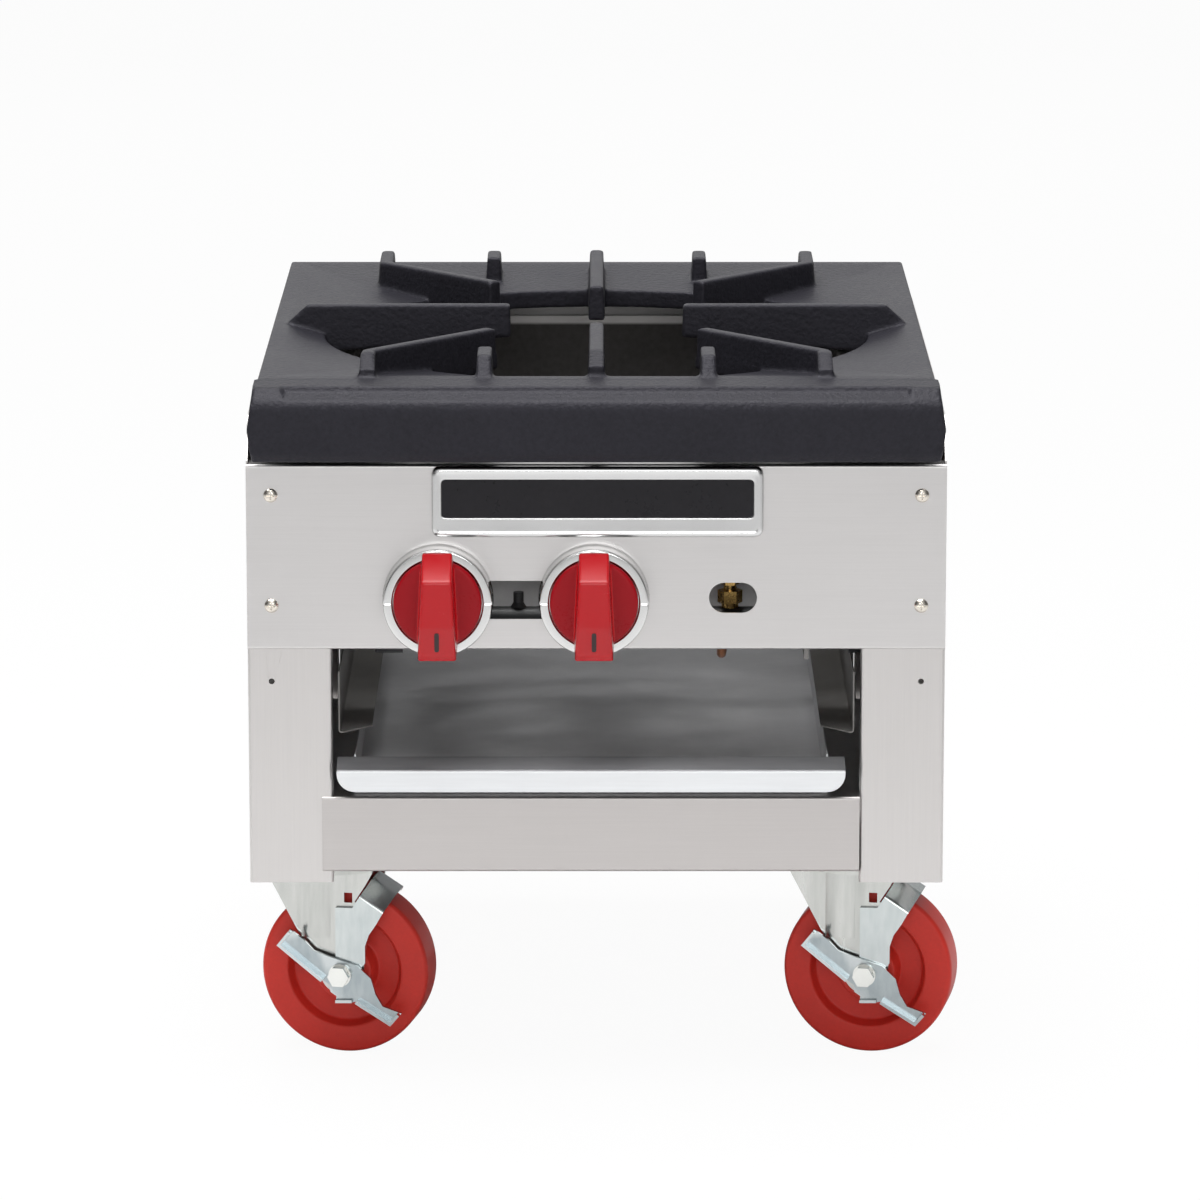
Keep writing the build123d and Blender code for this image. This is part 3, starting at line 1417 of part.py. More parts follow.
def build_casters():
    kingpins = []
    balls = []
    places = (
        ("front_left", -1, caster_front_y, front_yaw, True),
        ("front_right", 1, caster_front_y, front_yaw, True),
        ("rear_left", -1, caster_rear_y, rear_yaw, False),
        ("rear_right", 1, caster_rear_y, rear_yaw, False),
    )
    for name, side, y, yaw, braked in places:
        here = Pos(side * caster_x, y, 0)
        turned = here * Rot(0, 0, yaw)
        keep(name + "_caster_plate", here * caster_plate_part())
        keep(name + "_fork", turned * caster_fork(braked))
        keep(name + "_wheel", turned * caster_wheel())
        keep(name + "_axle", turned * caster_axle(braked))
        kingpins.append(here * caster_kingpin())
        balls.extend([here * ball for ball in caster_balls()])
        if braked:
            keep(name + "_brake_plate", turned * brake_plate())
            keep(name + "_brake_lever", turned * brake_lever())
    keep("caster_kingpins", Compound(kingpins))
    keep("caster_bearing_balls", Compound(balls))
    keep("caster_bolts", caster_bolts())


build_body()
build_gas_train()
build_casters()

# The origin goes to the floor under the middle of the whole object's box
corners = [shape.bounding_box() for shape in parts.values()]
low_x = min(box.min.X for box in corners)
high_x = max(box.max.X for box in corners)
low_y = min(box.min.Y for box in corners)
high_y = max(box.max.Y for box in corners)
low_z = min(box.min.Z for box in corners)
to_origin = Pos(-(low_x + high_x) / 2, -(low_y + high_y) / 2, -low_z)
print("moved by", -(low_x + high_x) / 2, -(low_y + high_y) / 2, -low_z)

for name, shape in parts.items():
    export_step(to_origin * shape, "parts/" + name + ".step")
print(len(parts), "parts")
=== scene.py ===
import math
import bmesh
import bpy
import numpy as np
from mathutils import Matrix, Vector


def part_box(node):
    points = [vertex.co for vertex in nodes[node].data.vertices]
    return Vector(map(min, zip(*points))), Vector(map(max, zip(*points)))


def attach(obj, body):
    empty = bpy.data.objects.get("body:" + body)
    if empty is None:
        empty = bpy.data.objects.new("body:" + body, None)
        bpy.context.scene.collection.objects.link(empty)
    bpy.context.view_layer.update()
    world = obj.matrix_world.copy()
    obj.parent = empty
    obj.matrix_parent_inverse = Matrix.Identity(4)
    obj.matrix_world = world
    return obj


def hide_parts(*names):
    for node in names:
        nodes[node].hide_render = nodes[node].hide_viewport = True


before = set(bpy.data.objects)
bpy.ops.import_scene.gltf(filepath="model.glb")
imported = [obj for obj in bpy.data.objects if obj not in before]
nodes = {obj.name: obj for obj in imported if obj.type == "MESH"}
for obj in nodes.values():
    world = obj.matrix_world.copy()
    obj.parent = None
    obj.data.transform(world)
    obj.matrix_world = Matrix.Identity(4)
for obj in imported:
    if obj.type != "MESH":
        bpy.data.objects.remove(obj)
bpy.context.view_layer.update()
scene = bpy.context.scene
scene.view_settings.view_transform = "Standard"
print("frame loaded:", len(nodes), "nodes")

# Body places are written in millimetres from the middle of the control panel's face, at floor level.
panelLow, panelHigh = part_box("control_panel")
panelMiddleX = (panelLow.x + panelHigh.x) / 2
panelFaceY = panelLow.y
mm = 0.001


def toFrame(points):  # body millimetres to metres in the shared frame
    return np.asarray(points, float) * mm + np.array([panelMiddleX, panelFaceY, 0.0])


# Materials: two noises on object coordinates, a fine grain and broad patches. Their mix drives colour
# and gloss. The grain drives the relief, over a waviness from the patches where a look has one.

# A look gives only what differs from these values
plainLook = dict(metallic=0.0, anisotropic=0.0, specular=0.5, tint=(1, 1, 1), patchShare=0.5, swirl=0.0,
                 roughSpread=0.05, bump=0.2, depth=0.0002)
grainNoise = {"Scale": 1.0, "Detail": 4.0, "Roughness": 0.6}
patchNoise = {"Scale": 1.0, "Detail": 3.0, "Roughness": 0.55}
noiseSpan = (0.3, 0.7)  # over this part of the mix a finish goes from dark and glossy to light and matt
edgeLighterSpan = (0.53, 0.62)  # how sharp an edge is where the lighter edge, partly wear and partly painted highlight, starts and where it is full
highlightBandBorder = 0.001  # half the height over which the painted highlight band fades in, in metres


def addNode(tree, kind, values=None, **settings):
    node = tree.nodes.new(kind)
    for key, value in settings.items():
        setattr(node, key, value)
    for key, value in (values or {}).items():
        node.inputs[key].default_value = value
    return node


def addNoise(tree, coords, scale, values):
    mapping = addNode(tree, "ShaderNodeMapping", {"Scale": scale})
    noise = addNode(tree, "ShaderNodeTexNoise", values)
    tree.links.new(coords.outputs["Object"], mapping.inputs["Vector"])
    tree.links.new(mapping.outputs["Vector"], noise.inputs["Vector"])
    return noise.outputs["Fac"]


def addRange(tree, value, start, end):  # a value moved from one range to another
    ranged = addNode(tree, "ShaderNodeMapRange", {
        "From Min": start[0], "From Max": start[1], "To Min": end[0], "To Max": end[1]})
    tree.links.new(value, ranged.inputs["Value"])
    return ranged.outputs["Result"]


def shade(colour, factor):  # a colour made darker or lighter, with no channel above full
    return tuple(min(channel * factor, 1.0) for channel in colour) + (1.0,)


def addLayer(tree, under, share, over):  # a fixed colour laid over another by a share
    layer = addNode(tree, "ShaderNodeMix", data_type="RGBA")
    layer.inputs["B"].default_value = shade(over, 1.0)
    tree.links.new(share, layer.inputs["Factor"])
    tree.links.new(under, layer.inputs["A"])
    return layer.outputs["Result"]


def makeFinish(name, choices):
    look = {**plainLook, **choices}
    finish = bpy.data.materials.new(name)
    finish.use_nodes = True
    tree = finish.node_tree
    tree.nodes.clear()
    link = tree.links.new
    output = addNode(tree, "ShaderNodeOutputMaterial")
    shader = addNode(tree, "ShaderNodeBsdfPrincipled", {
        "Metallic": look["metallic"], "Anisotropic": look["anisotropic"],
        "Specular IOR Level": look["specular"], "Specular Tint": look["tint"] + (1,)})
    coords = addNode(tree, "ShaderNodeTexCoord")
    grain = addNoise(tree, coords, look["grain"], grainNoise)
    patch = addNoise(tree, coords, look["patch"], {**patchNoise, "Distortion": look["swirl"]})
    share = addNode(tree, "ShaderNodeMix", {"Factor": look["patchShare"]}, data_type="FLOAT")
    link(grain, share.inputs["A"])
    link(patch, share.inputs["B"])
    mixed = share.outputs["Result"]
    ramp = addNode(tree, "ShaderNodeValToRGB")
    dark, light = ramp.color_ramp.elements
    dark.position, light.position = noiseSpan
    dark.color = shade(look.get("darkTone", look["colour"]), 1 - look["spread"])
    light.color = shade(look["colour"], 1 + look["spread"])
    link(mixed, ramp.inputs["Fac"])
    colour = ramp.outputs["Color"]
    if "highlightBandHeight" in look:  # a painted highlight: above this height, close under the grate, the sheet is painted bright
        place = addNode(tree, "ShaderNodeSeparateXYZ")
        link(coords.outputs["Object"], place.inputs["Vector"])
        border = (look["highlightBandHeight"] - highlightBandBorder, look["highlightBandHeight"] + highlightBandBorder)
        above = addRange(tree, place.outputs["Z"], border, (0.0, 1.0))
        colour = addLayer(tree, colour, above, look["highlightBandColour"])
    if "edge" in look:  # outward edges are painted lighter, partly as wear and partly as a painted highlight
        geometry = addNode(tree, "ShaderNodeNewGeometry")
        wearAndSheen = addRange(tree, geometry.outputs["Pointiness"], edgeLighterSpan, (0.0, look["edge"]))
        colour = addLayer(tree, colour, wearAndSheen, look["edgeColour"])
    link(colour, shader.inputs["Base Color"])
    roughSpan = (look["roughness"] - look["roughSpread"], look["roughness"] + look["roughSpread"])
    link(addRange(tree, mixed, noiseSpan, roughSpan), shader.inputs["Roughness"])
    relief = addNode(tree, "ShaderNodeBump", {"Strength": look["bump"], "Distance": look["depth"]})
    link(grain, relief.inputs["Height"])
    if "wave" in look:  # a broad, shallow waviness under the grain
        swell = addNode(tree, "ShaderNodeBump", {"Strength": 1.0, "Distance": look["wave"]})
        link(patch, swell.inputs["Height"])
        link(swell.outputs["Normal"], relief.inputs["Normal"])
    link(relief.outputs["Normal"], shader.inputs["Normal"])
    link(shader.outputs["BSDF"], output.inputs["Surface"])
    return finish


looks = {
    "steelAcross": dict(colour=(0.66, 0.645, 0.64), metallic=1.0, roughness=0.38, spread=0.035,
                        grain=(14, 900, 900), patch=(5, 5, 7), patchShare=0.45, bump=0.08, depth=0.0001,
                        anisotropic=0.3),
    "railSteel": dict(colour=(0.565, 0.54, 0.53), metallic=1.0, roughness=0.4, spread=0.04,
                      grain=(14, 900, 900), patch=(5, 5, 7), patchShare=0.45, bump=0.08, depth=0.0001,
                      anisotropic=0.3),
    "steelUpright": dict(colour=(0.64, 0.62, 0.61), metallic=1.0, roughness=0.36, spread=0.035,
                         grain=(900, 900, 14), patch=(6, 6, 4), patchShare=0.45, bump=0.08, depth=0.0001,
                         anisotropic=0.3),
    "trayPan": dict(colour=(0.60, 0.60, 0.61), metallic=0.35, roughness=0.45, spread=0.14,
                    grain=(60, 60, 60), patch=(9, 9, 9), patchShare=0.7, swirl=1.2, bump=0.15,
                    depth=0.0004, wave=0.0012, roughSpread=0.1),
    # the tray lip's fold: a darker copy of the tray's steel, as painted shade
    "trayFoldShaded": dict(colour=(0.27, 0.27, 0.28), metallic=0.55, roughness=0.42, spread=0.12,
                     grain=(60, 300, 60), patch=(9, 30, 9), patchShare=0.6, bump=0.12, depth=0.0003),
    # the tray lip's front: a lighter copy of the tray's steel, as painted light
    "lipLitSteel": dict(colour=(0.82, 0.835, 0.85), metallic=0.75, roughness=0.40, spread=0.05,
                     grain=(20, 400, 400), patch=(7, 20, 20), bump=0.1, wave=0.0005),
    "galvanised": dict(colour=(0.55, 0.545, 0.545), metallic=0.35, roughness=0.5, spread=0.1,
                       grain=(160, 160, 160), patch=(30, 30, 30), bump=0.1, roughSpread=0.1),
    "darkSheet": dict(colour=(0.23, 0.225, 0.22), darkTone=(0.155, 0.145, 0.135), metallic=0.5,
                      roughness=0.46, spread=0.12, grain=(220, 220, 220), patch=(9, 9, 7), bump=0.12,
                      roughSpread=0.1),
    # the rear liner is a dark sheet, made darker still as painted shade for the dim back under the grate
    "rearSheet": dict(colour=(0.085, 0.08, 0.077), darkTone=(0.05, 0.045, 0.04), metallic=0.2,
                      roughness=0.5, spread=0.12, grain=(220, 220, 220), patch=(9, 9, 7), bump=0.12,
                      # above the height given next, the sheet is painted bright: a painted highlight
                      # close under the grate
                      roughSpread=0.1, highlightBandHeight=0.4305, highlightBandColour=(0.9, 0.88, 0.86)),
    # its lighter edges are partly wear and partly a painted highlight on the lip's rounded nose
    "grateIron": dict(colour=(0.0180, 0.0175, 0.0225), roughness=0.47, spread=0.28, specular=0.22,
                      tint=(0.92, 0.90, 1.0), grain=(330, 330, 330), patch=(14, 14, 14), patchShare=0.4,
                      bump=0.75, depth=0.0010, roughSpread=0.06, edge=0.45,
                      edgeColour=(0.065, 0.064, 0.076)),
    "burnerIron": dict(colour=(0.022, 0.020, 0.018), darkTone=(0.035, 0.02, 0.013), roughness=0.7,
                       spread=0.3, grain=(500, 500, 500), patch=(25, 25, 25), bump=0.6, depth=0.0008),
    "shutterSteel": dict(colour=(0.22, 0.17, 0.13), darkTone=(0.09, 0.07, 0.055), metallic=0.8,
                         roughness=0.5, spread=0.2, grain=(300, 300, 300), patch=(60, 60, 60), bump=0.4,
                         depth=0.0004),
    "blackPipe": dict(colour=(0.028, 0.028, 0.03), roughness=0.42, spread=0.25,
                      grain=(240, 240, 240), patch=(20, 20, 20), bump=0.3, depth=0.0004),
    "brass": dict(colour=(0.62, 0.40, 0.14), metallic=1.0, roughness=0.28, spread=0.1,
                  grain=(700, 200, 700), patch=(40, 40, 40), bump=0.1),
    "copper": dict(colour=(0.55, 0.25, 0.14), metallic=1.0, roughness=0.35, spread=0.15,
                   grain=(200, 60, 200), patch=(30, 30, 30), bump=0.08),
    "stemSteel": dict(colour=(0.52, 0.52, 0.52), metallic=1.0, roughness=0.3, spread=0.06,
                      grain=(900, 60, 900), patch=(30, 30, 30), bump=0.1),
    "knobRed": dict(colour=(0.49, 0.004, 0.009), roughness=0.24, spread=0.04, specular=0.45,
                    grain=(600, 600, 600), patch=(30, 30, 30), bump=0.05, depth=0.0001),
    # the disc's darker red is painted shade for its recess behind the grip
    "knobDiscShaded": dict(colour=(0.33, 0.004, 0.010), roughness=0.3, spread=0.05, specular=0.2,
                     grain=(600, 600, 600), patch=(30, 30, 30), bump=0.05, depth=0.0001),
    "knobMark": dict(colour=(0.03, 0.012, 0.014), roughness=0.5, spread=0.1,
                     grain=(600, 600, 600), patch=(30, 30, 30), bump=0.05),
    "wheelRed": dict(colour=(0.60, 0.033, 0.022), roughness=0.42, spread=0.09, specular=0.3,
                     grain=(500, 500, 500), patch=(35, 35, 35), bump=0.10),
    "chrome": dict(colour=(0.72, 0.72, 0.715), metallic=1.0, roughness=0.14, spread=0.02,
                   grain=(300, 300, 300), patch=(18, 18, 18), bump=0.02, depth=0.0001, roughSpread=0.03),
    "badgeChrome": dict(colour=(0.70, 0.70, 0.70), metallic=1.0, roughness=0.2, spread=0.03,
                        grain=(40, 500, 500), patch=(20, 20, 20), bump=0.03, depth=0.0001,
                        roughSpread=0.04),
    "enamel": dict(colour=(0.016, 0.015, 0.018), roughness=0.3, spread=0.15, specular=0.2,
                   grain=(300, 300, 300), patch=(20, 20, 20), bump=0.06, depth=0.0001),
    # its upright streaks between a darker and a lighter zinc are painted reflections of the pressed rib
    "forkZinc": dict(colour=(0.63, 0.635, 0.615), darkTone=(0.46, 0.47, 0.45), metallic=1.0,
                     roughness=0.24, spread=0.08, grain=(300, 300, 40), patch=(70, 70, 6),
                     patchShare=0.75, bump=0.05, depth=0.0001, roughSpread=0.06),
    # its bright edges are a painted highlight
    "leverZinc": dict(colour=(0.46, 0.505, 0.52), darkTone=(0.33, 0.38, 0.40), metallic=1.0,
                      roughness=0.22, spread=0.06, grain=(300, 300, 60), patch=(60, 60, 60), bump=0.05,
                      depth=0.0001, roughSpread=0.06, edge=0.5, edgeColour=(0.75, 0.78, 0.78)),
    "zinc": dict(colour=(0.60, 0.635, 0.63), darkTone=(0.50, 0.545, 0.55), metallic=1.0,
                 roughness=0.2, spread=0.06, grain=(300, 300, 60), patch=(45, 45, 45), bump=0.05,
                 depth=0.0001, roughSpread=0.06),
    "boltZinc": dict(colour=(0.80, 0.81, 0.78), metallic=1.0, roughness=0.18, spread=0.06,
                     grain=(400, 400, 400), patch=(60, 60, 60), bump=0.06, depth=0.0001),
    "screwPlate": dict(colour=(0.74, 0.69, 0.62), metallic=1.0, roughness=0.22, spread=0.08,
                       grain=(400, 400, 400), patch=(90, 90, 90), bump=0.06, depth=0.0001),
}
finishes = {name: makeFinish(name, choices) for name, choices in looks.items()}
print("finishes made:", len(finishes))

nodeFinish = {
    "control_panel": "steelAcross", "front_lower_rail": "railSteel", "rear_lower_rail": "steelAcross",
    "back_panel": "steelAcross", "left_side_panel": "steelUpright", "right_side_panel": "steelUpright",
    "drip_tray": "trayPan", "front_liner": "galvanised", "left_base_channel": "galvanised",
    "right_base_channel": "galvanised", "left_liner": "darkSheet", "right_liner": "darkSheet",
    "rear_liner": "rearSheet", "burner_supports": "darkSheet", "manifold_brackets": "darkSheet",
    "top_grate": "grateIron", "burner_outer": "burnerIron", "burner_inner": "burnerIron",
    "pilot_burner": "burnerIron", "left_air_shutter": "shutterSteel", "right_air_shutter": "shutterSteel",
    "manifold": "blackPipe", "pipe_fittings": "blackPipe", "supply_pipe": "blackPipe",
    "inlet_coupling": "blackPipe", "pilot_valve": "brass", "orifice_hoods": "brass",
    "left_valve_body": "brass", "right_valve_body": "brass", "pilot_tube": "copper",
    "left_valve_stem": "stemSteel", "right_valve_stem": "stemSteel", "left_knob": "knobRed",
    "right_knob": "knobRed", "knob_bezels": "chrome", "nameplate": "badgeChrome",
    "panel_screws": "screwPlate", "caster_kingpins": "boltZinc", "caster_bolts": "boltZinc",
    "caster_bearing_balls": "boltZinc",
}
cornerFinish = {"_caster_plate": "zinc", "_fork": "forkZinc", "_axle": "boltZinc", "_wheel": "wheelRed",
                "_brake_plate": "zinc", "_brake_lever": "leverZinc"}
for corner in ("front_left", "front_right", "rear_left", "rear_right"):
    nodeFinish.update({corner + end: look for end, look in cornerFinish.items() if corner + end in nodes})
for name, node in nodes.items():
    node.data.materials.clear()
    node.data.materials.append(finishes[nodeFinish[name]])
print("nodes finished:", len(nodeFinish))


# Mesh helpers

def mergedCopy(node):  # a CAD node's loose triangles joined at the points they share
    work = bmesh.new()
    work.from_mesh(nodes[node].data)
    bmesh.ops.remove_doubles(work, verts=work.verts, dist=1e-6)
    mesh = bpy.data.meshes.new(node)
    work.to_mesh(mesh)
    work.free()
    return mesh


def applied(piece):  # the piece's mesh with its modifiers carried out
    graph = bpy.context.evaluated_depsgraph_get()
    mesh = bpy.data.meshes.new_from_object(piece.evaluated_get(graph))
    piece.modifiers.clear()
    piece.data = mesh
    return piece


def addPiece(name, mesh, body, finish, replaces=()):
    piece = bpy.data.objects.new(name, mesh)
    scene.collection.objects.link(piece)
    mesh.materials.clear()
    mesh.materials.append(finishes[finish])
    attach(piece, body)
    if replaces:
        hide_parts(*replaces)
    return piece


mostOfSide = 0.45  # a rounded corner takes up no more than this share of a side


# A closed outline with each corner rounded. The curve starts and ends on the corner's two sides, at the
# radius from it, or less on a short side. Its points are, for t from 0 to 1, the start times (1 - t)
# squared, plus the corner times 2 t (1 - t), plus the end times t squared.
def rounded(points, radius, steps=4):
    points = np.asarray(points, float)
    t = np.linspace(0, 1, steps + 1)[:, None]
    ends = []
    for neighbour in (1, -1):
        side = np.roll(points, neighbour, axis=0) - points
        length = np.linalg.norm(side, axis=1, keepdims=True)
        ends.append(points + side / length * np.minimum(radius, mostOfSide * length))
    start, corner, end = ends[0][:, None], points[:, None], ends[1][:, None]
    return ((1 - t) ** 2 * start + 2 * t * (1 - t) * corner + t ** 2 * end).reshape(-1, 2)


# Rows of points joined into a skin. It closes round each row, and from the last row to the first or
# over the ends.
def skin(name, rows, ring=False):
    rows = np.asarray(rows, float)
    count, around = rows.shape[:2]
    index = np.arange(count * around).reshape(count, around)
    if ring:
        index = np.vstack([index, index[:1]])
    a, b = index[:-1], index[1:]
    quads = np.stack([a, np.roll(a, -1, axis=1), np.roll(b, -1, axis=1), b], axis=-1).reshape(-1, 4)
    faces = quads.tolist()
    if not ring:
        faces += [index[0][::-1].tolist(), index[-1].tolist()]
    mesh = bpy.data.meshes.new(name)
    mesh.from_pydata(rows.reshape(-1, 3), [], faces)
    work = bmesh.new()
    work.from_mesh(mesh)
    bmesh.ops.recalc_face_normals(work, faces=work.faces)
    work.to_mesh(mesh)
    work.free()
    return mesh


# A lathe shape round the axis along y: the outline's points (radius, y) turned through a full circle,
# x = radius cos a and z = radius sin a, then swung by yaw about z and moved to the centre.
def turned(name, outline, centre, yaw, turns):
    angle = np.linspace(0, 2 * math.pi, turns, endpoint=False)
    radius, y = np.asarray(outline, float).T
    rows = np.stack([np.outer(radius, np.cos(angle)), np.outer(y, np.ones(turns)),
                     np.outer(radius, np.sin(angle))], axis=-1)
    c, s = math.cos(yaw), math.sin(yaw)
    swing = np.array([[c, -s, 0], [s, c, 0], [0, 0, 1]])
    return skin(name, rows @ swing.T * mm + np.asarray(centre, float), ring=True)


sharpAngle = 50.0  # in degrees


def smoothed(piece):  # smooth shading that keeps edges sharper than the angle
    piece.data.shade_smooth()
    piece.data.set_sharp_from_angle(angle=math.radians(sharpAngle))


def weighted(piece):  # large faces keep their own normal, so flats shade flat beside rounded edges
    weigh = piece.modifiers.new("weigh", "WEIGHTED_NORMAL")
    weigh.mode = "FACE_AREA"
    weigh.weight = 100
    weigh.keep_sharp = True


easing = dict(steps=2, limit=28.0)  # edges sharper than the limit, in degrees, are eased


# A copy of a CAD node with its sharp edges eased over a width in millimetres
def bevelled(name, node, body, finish, width):
    piece = addPiece(name, mergedCopy(node), body, finish, [node])
    piece.data.shade_smooth()
    soft = piece.modifiers.new("soft", "BEVEL")
    soft.width = width * mm
    soft.segments = easing["steps"]
    soft.limit_method = "ANGLE"
    soft.angle_limit = math.radians(easing["limit"])
    weighted(piece)
    return applied(piece)


# Cast and moulded pieces: a CAD copy rebuilt on a fine grid and smoothed, so every edge turns softly,
# and thinned where it has too many triangles

castings = {
    "top_grate": dict(body="grate", slot="grate_iron", finish="grateIron", voxel=0.0014, smoothing=4),
    "left_knob": dict(body="left_control", slot="red_knob", finish="knobRed", voxel=0.0005, smoothing=50),
    "right_knob": dict(body="right_control", slot="red_knob", finish="knobRed", voxel=0.0005,
                       smoothing=50),
}
smoothFactor = 0.5
mostTriangles = 190000


def makeCasting(node):
    cast = castings[node]
    piece = addPiece(node + "Cast", mergedCopy(node), cast["body"], cast["finish"], [node])
    remesh = piece.modifiers.new("remesh", "REMESH")
    remesh.mode = "VOXEL"
    remesh.voxel_size = cast["voxel"]
    smooth = piece.modifiers.new("smooth", "SMOOTH")
    smooth.iterations = cast["smoothing"]
    smooth.factor = smoothFactor
    applied(piece)
    thin = piece.modifiers.new("thin", "DECIMATE")
    thin.ratio = min(1.0, mostTriangles / (2 * len(piece.data.polygons)))
    applied(piece)
    piece.data.shade_smooth()
    print(node, "faces:", len(piece.data.polygons))
    return piece


makeCasting("top_grate")


# Knobs: a moulding whose disc at its back is given a darker red as painted shade, and a plain mark on the
# lower facet, whose depth goes from lowDepth to highDepth. The mark stands proud of the facet and has its
# root inside it.

knobs = dict(places=(-103.6, -1.5), height=328.7, discFront=-19.3)
knobMark = dict(half=1.5, low=-27.0, high=-14.0, corner=1.4, lowDepth=40.97, highDepth=43.43,
                proud=0.3, root=0.6)


def makeKnobs():
    m = knobMark
    for side, x in zip(("left", "right"), knobs["places"]):
        knob = makeCasting(side + "_knob")
        # faces at the disc take the darker red, painted shade
        knob.data.materials.append(finishes["knobDiscShaded"])
        border = toFrame((0, knobs["discFront"], 0))[1]
        for face in knob.data.polygons:
            face.material_index = int(face.center.y > border)
        outline = rounded([(-m["half"], m["low"]), (m["half"], m["low"]), (m["half"], m["high"]),
                           (-m["half"], m["high"])], m["corner"])
        share = (outline[:, 1] - m["low"]) / (m["high"] - m["low"])
        depth = m["lowDepth"] + share * (m["highDepth"] - m["lowDepth"])
        rows = [np.stack([x + outline[:, 0], -depth - lift, knobs["height"] + outline[:, 1]], axis=-1)
                for lift in (-m["root"], m["proud"])]
        mesh = skin(side + "KnobMark", toFrame(rows))
        addPiece(side + "KnobMark", mesh, side + "_control", "knobMark")


makeKnobs()
print("knobs made")


# Nameplate: a chrome plate with a round rim and a bare enamel field. Each row of points is a rounded
# rectangle, set in from the plate's or the field's edge and lying at a depth in front of the panel.
# Over the rim, where turn is an angle, the row is set in by rimWidth times (1 - cos turn), and its depth
# is side plus (thickness - side) times sin turn.

badge = dict(left=-107.45, right=109.05, low=370.0, high=417.2, corner=6.5, thickness=4.6, side=1.4,
             rimWidth=2.9, rimTurns=(20, 40, 60, 80, 95, 110, 125))
# wall and enamel are pairs of inset and drop, from the rim's last row and from the enamel's face
field = dict(left=-101.2, right=102.8, low=383.1, high=408.6, corner=3.4, depth=1.1, lay=0.5,
             wall=((-0.8, 0.0), (-0.2, 0.2), (0.0, 0.8)), enamel=((0.1, 0.8), (0.1, 0.1), (0.3, 0.0)))
plateCorner = dict(least=1.0, steps=8)


def plateRow(shape, inset, depth):
    left, right = shape["left"] + inset, shape["right"] - inset
    low, high = shape["low"] + inset, shape["high"] - inset
    outline = rounded([(left, low), (right, low), (right, high), (left, high)],
                      max(shape["corner"] - inset, plateCorner["least"]), plateCorner["steps"])
    return np.stack([outline[:, 0], np.full(len(outline), -depth), outline[:, 1]], axis=-1)


def makeNameplate():
    side, rise = badge["side"], badge["thickness"] - badge["side"]
    rows = [plateRow(badge, 0, 0), plateRow(badge, 0, side)]
    for turn in np.radians(badge["rimTurns"]):
        inset = badge["rimWidth"] * (1 - math.cos(turn))
        rows.append(plateRow(badge, inset, side + rise * math.sin(turn)))
    front = -rows[-1][0][1]
    rows += [plateRow(field, inset, front - drop) for inset, drop in field["wall"]]
    rows.append(plateRow(field, 0, front - field["depth"]))
    mesh = skin("nameplateFrame", toFrame(rows))
    piece = addPiece("nameplateFrame", mesh, "body", "badgeChrome", ["nameplate"])
    smoothed(piece)
    weighted(piece)
    applied(piece)
    face = front - field["depth"] + field["lay"]
    rows = [plateRow(field, inset, face - drop) for inset, drop in field["enamel"]]
    addPiece("nameplateField", skin("nameplateField", toFrame(rows)), "body", "enamel")


makeNameplate()
print("nameplate made")


# Wheels: a lathe shape with a dished recess on both sides. slope is the run of the recess's walls,
# treadEdge the run and fall at the tread's edge, and soft the radius of the outline's corners.

wheel = dict(radius=57.15, rim=16.0, recess=39.0, web=7.5, hub=19.0, hubHalf=19.2, bore=6.41, slope=2.5,
             treadEdge=(1.6, 2.6), soft=1.6, softSteps=5, turns=160)
casterYaw = {"front_left": -11.0, "front_right": -11.0, "rear_left": 90.0, "rear_right": 90.0}


def makeWheels():
    w = wheel
    run, fall = w["treadEdge"]
    oneSide = [(w["bore"], w["hubHalf"]), (w["hub"], w["hubHalf"]), (w["hub"] + w["slope"], w["web"]),
               (w["recess"] - w["slope"], w["web"]), (w["recess"], w["rim"]),
               (w["radius"] - run, w["rim"]), (w["radius"], w["rim"] - fall)]
    otherSide = [(radius, -y) for radius, y in reversed(oneSide)]
    outline = rounded(oneSide + otherSide, w["soft"], w["softSteps"])
    for corner, yaw in casterYaw.items():
        low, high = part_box(corner + "_wheel")
        mesh = turned(corner + "Tyre", outline, (low + high) / 2, math.radians(yaw), w["turns"])
        piece = addPiece(corner + "Tyre", mesh, corner + "_roller", "wheelRed",
                         [corner + "_wheel"])
        smoothed(piece)


makeWheels()
print("wheels made")


# Pressed and forged steel parts: the CAD shapes with their edges eased. Each has its body, slot, finish
# and the width of its eased edges. Only the front casters have the brake parts.

casterParts = {
    "_caster_plate": ("body", "zinc", "zinc", 0.8), "_fork": ("_swivel", "zinc", "forkZinc", 0.9),
    "_axle": ("_swivel", "bolt_zinc", "boltZinc", 0.7), "_brake_plate": ("_brake", "zinc", "zinc", 0.7),
    "_brake_lever": ("_lever", "zinc", "leverZinc", 0.7),
}


def makeCasters():
    for corner in casterYaw:
        for end, (body, slot, finish, width) in casterParts.items():
            if corner + end in nodes:
                rider = body if body == "body" else corner + body
                bevelled(corner + end + "Eased", corner + end, rider, finish, width)


makeCasters()
print("casters made")


# Sheet parts and small fittings, eased in the same way

sheets = {
    "control_panel": ("body", "stainless", "steelAcross", 0.6),
    "front_lower_rail": ("body", "stainless", "railSteel", 0.6),
    "left_side_panel": ("body", "stainless", "steelUpright", 0.6),
    "right_side_panel": ("body", "stainless", "steelUpright", 0.6),
    "drip_tray": ("tray", "stainless", "trayPan", 0.5),
    "panel_screws": ("body", "screw_steel", "screwPlate", 0.35),
    "pilot_valve": ("body", "brass", "brass", 0.5),
    "knob_bezels": ("body", "bezel_chrome", "chrome", 0.6),
}


def makeSheets():
    for node, (body, slot, finish, width) in sheets.items():
        bevelled(node + "Eased", node, body, finish, width)


makeSheets()
print("sheets made")


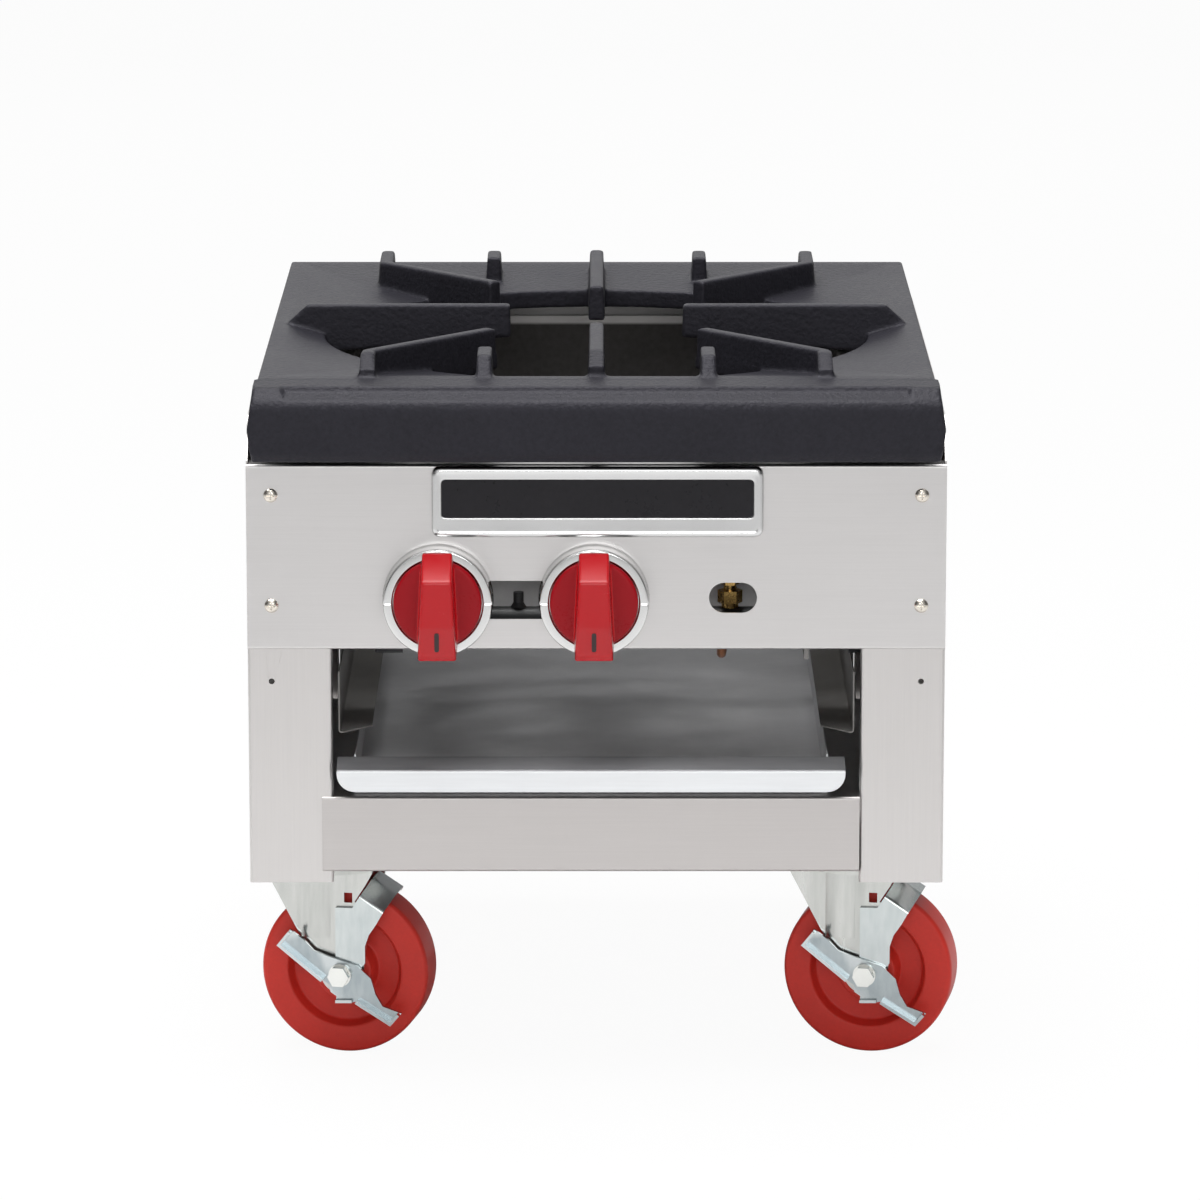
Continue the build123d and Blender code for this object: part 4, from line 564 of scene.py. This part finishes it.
# The tray's front lip: its faces that point forwards are painted brighter than the pan as painted light,
# and its others darker than the pan as painted shade

trayLip = dict(back=10.5, forwards=-0.85)


def finishLip():
    tray = bpy.data.objects["drip_trayEased"]
    for finish in ("trayFoldShaded", "lipLitSteel"):
        tray.data.materials.append(finishes[finish])
    border = toFrame((0, trayLip["back"], 0))[1]
    for face in tray.data.polygons:
        if face.center.y < border:
            face.material_index = 2 if face.normal.y < trayLip["forwards"] else 1


finishLip()
print("pieces made")


# Studio

cameraView = dict(lens=200.82, sensor=36.0, farthest=60.0, across=2.383, back=-4286.95, height=1221.81,
                  pitch=11.78)
floorLook = dict(half=20.0, grey=0.85, white=0.95)  # half its width, its grey, and the camera's white
# How far to the side a ray points where the room is lightest and where darkest, and its light there
room = dict(middle=0.3, side=0.75, light=0.6, dark=0.12)
lamps = {
    "overhead": dict(place=(-0.3, -0.4, 2.6), aim=(0, 0, 0.3), size=(2.2, 2.0), power=65),
    "frontal": dict(place=(0.2, -5.2, 1.4), aim=(0, 0, 0.3), size=(1.6, 1.2), power=26),
    "behind": dict(place=(-0.5, 4.6, 1.9), aim=(0, 0.2, 0.45), size=(5.0, 1.8), power=19),
    "strip": dict(place=(-0.06, 0.52, 2.4), aim=(0, 0, 0.35), size=(1.0, 0.4), power=13),
}


def makeCamera():
    data = bpy.data.cameras.new("camera")
    data.lens = cameraView["lens"]
    data.sensor_width = cameraView["sensor"]
    data.clip_end = cameraView["farthest"]
    camera = bpy.data.objects.new("camera", data)
    camera.location = toFrame((cameraView["across"], cameraView["back"], cameraView["height"]))
    camera.rotation_euler = (math.radians(90 - cameraView["pitch"]), 0, 0)
    scene.collection.objects.link(camera)
    scene.camera = camera


def mixSurface(tree, output, share, lit, white):  # white by the share, and lit for the rest
    mix = addNode(tree, "ShaderNodeMixShader")
    tree.links.new(share, mix.inputs["Fac"])
    tree.links.new(lit, mix.inputs[1])
    tree.links.new(white, mix.inputs[2])
    tree.links.new(mix.outputs["Shader"], output.inputs["Surface"])


def makeFloor():  # nearly white to the camera, with the object's shadow, and pale grey to other rays
    half, grey = floorLook["half"], floorLook["grey"]
    mesh = bpy.data.meshes.new("floor")
    corners = [(-half, -half, 0), (half, -half, 0), (half, half, 0), (-half, half, 0)]
    mesh.from_pydata(corners, [], [(0, 1, 2, 3)])
    floor = bpy.data.objects.new("floor", mesh)
    scene.collection.objects.link(floor)
    paint = bpy.data.materials.new("floorPaint")
    paint.use_nodes = True
    tree = paint.node_tree
    tree.nodes.clear()
    output = addNode(tree, "ShaderNodeOutputMaterial")
    matt = addNode(tree, "ShaderNodeBsdfDiffuse", {"Color": (grey, grey, grey, 1)})
    white = addNode(tree, "ShaderNodeEmission", {"Color": (1, 1, 1, 1), "Strength": 1.0})
    rays = addNode(tree, "ShaderNodeLightPath")
    share = addNode(tree, "ShaderNodeMath", operation="MULTIPLY")
    share.inputs[1].default_value = floorLook["white"]
    tree.links.new(rays.outputs["Is Camera Ray"], share.inputs[0])
    mixSurface(tree, output, share.outputs["Value"], matt.outputs["BSDF"], white.outputs["Emission"])
    mesh.materials.append(paint)


def makeWorld():  # white to the camera; to other rays a light room that darkens to the left and right
    world = bpy.data.worlds.new("studio")
    scene.world = world
    world.use_nodes = True
    tree = world.node_tree
    tree.nodes.clear()
    output = addNode(tree, "ShaderNodeOutputWorld")
    walls = addNode(tree, "ShaderNodeBackground", {"Color": (1, 1, 1, 1)})
    white = addNode(tree, "ShaderNodeBackground", {"Color": (1, 1, 1, 1), "Strength": 1.0})
    rays = addNode(tree, "ShaderNodeLightPath")
    coords = addNode(tree, "ShaderNodeTexCoord")
    way = addNode(tree, "ShaderNodeSeparateXYZ")
    across = addNode(tree, "ShaderNodeMath", operation="ABSOLUTE")
    tree.links.new(coords.outputs["Generated"], way.inputs["Vector"])
    tree.links.new(way.outputs["X"], across.inputs[0])
    dim = addRange(tree, across.outputs["Value"], (room["middle"], room["side"]),
                   (room["light"], room["dark"]))
    tree.links.new(dim, walls.inputs["Strength"])
    mixSurface(tree, output, rays.outputs["Is Camera Ray"], walls.outputs["Background"],
               white.outputs["Background"])


def addLamp(name, place, aim, size, power):
    data = bpy.data.lights.new(name, "AREA")
    data.shape = "RECTANGLE"
    data.size, data.size_y = size
    data.energy = power
    lamp = bpy.data.objects.new(name, data)
    lamp.location = place
    lamp.rotation_euler = (Vector(aim) - Vector(place)).to_track_quat("-Z", "Y").to_euler()
    scene.collection.objects.link(lamp)


makeCamera()
makeFloor()
makeWorld()
for name, lamp in lamps.items():
    addLamp(name, **lamp)
print("studio made")
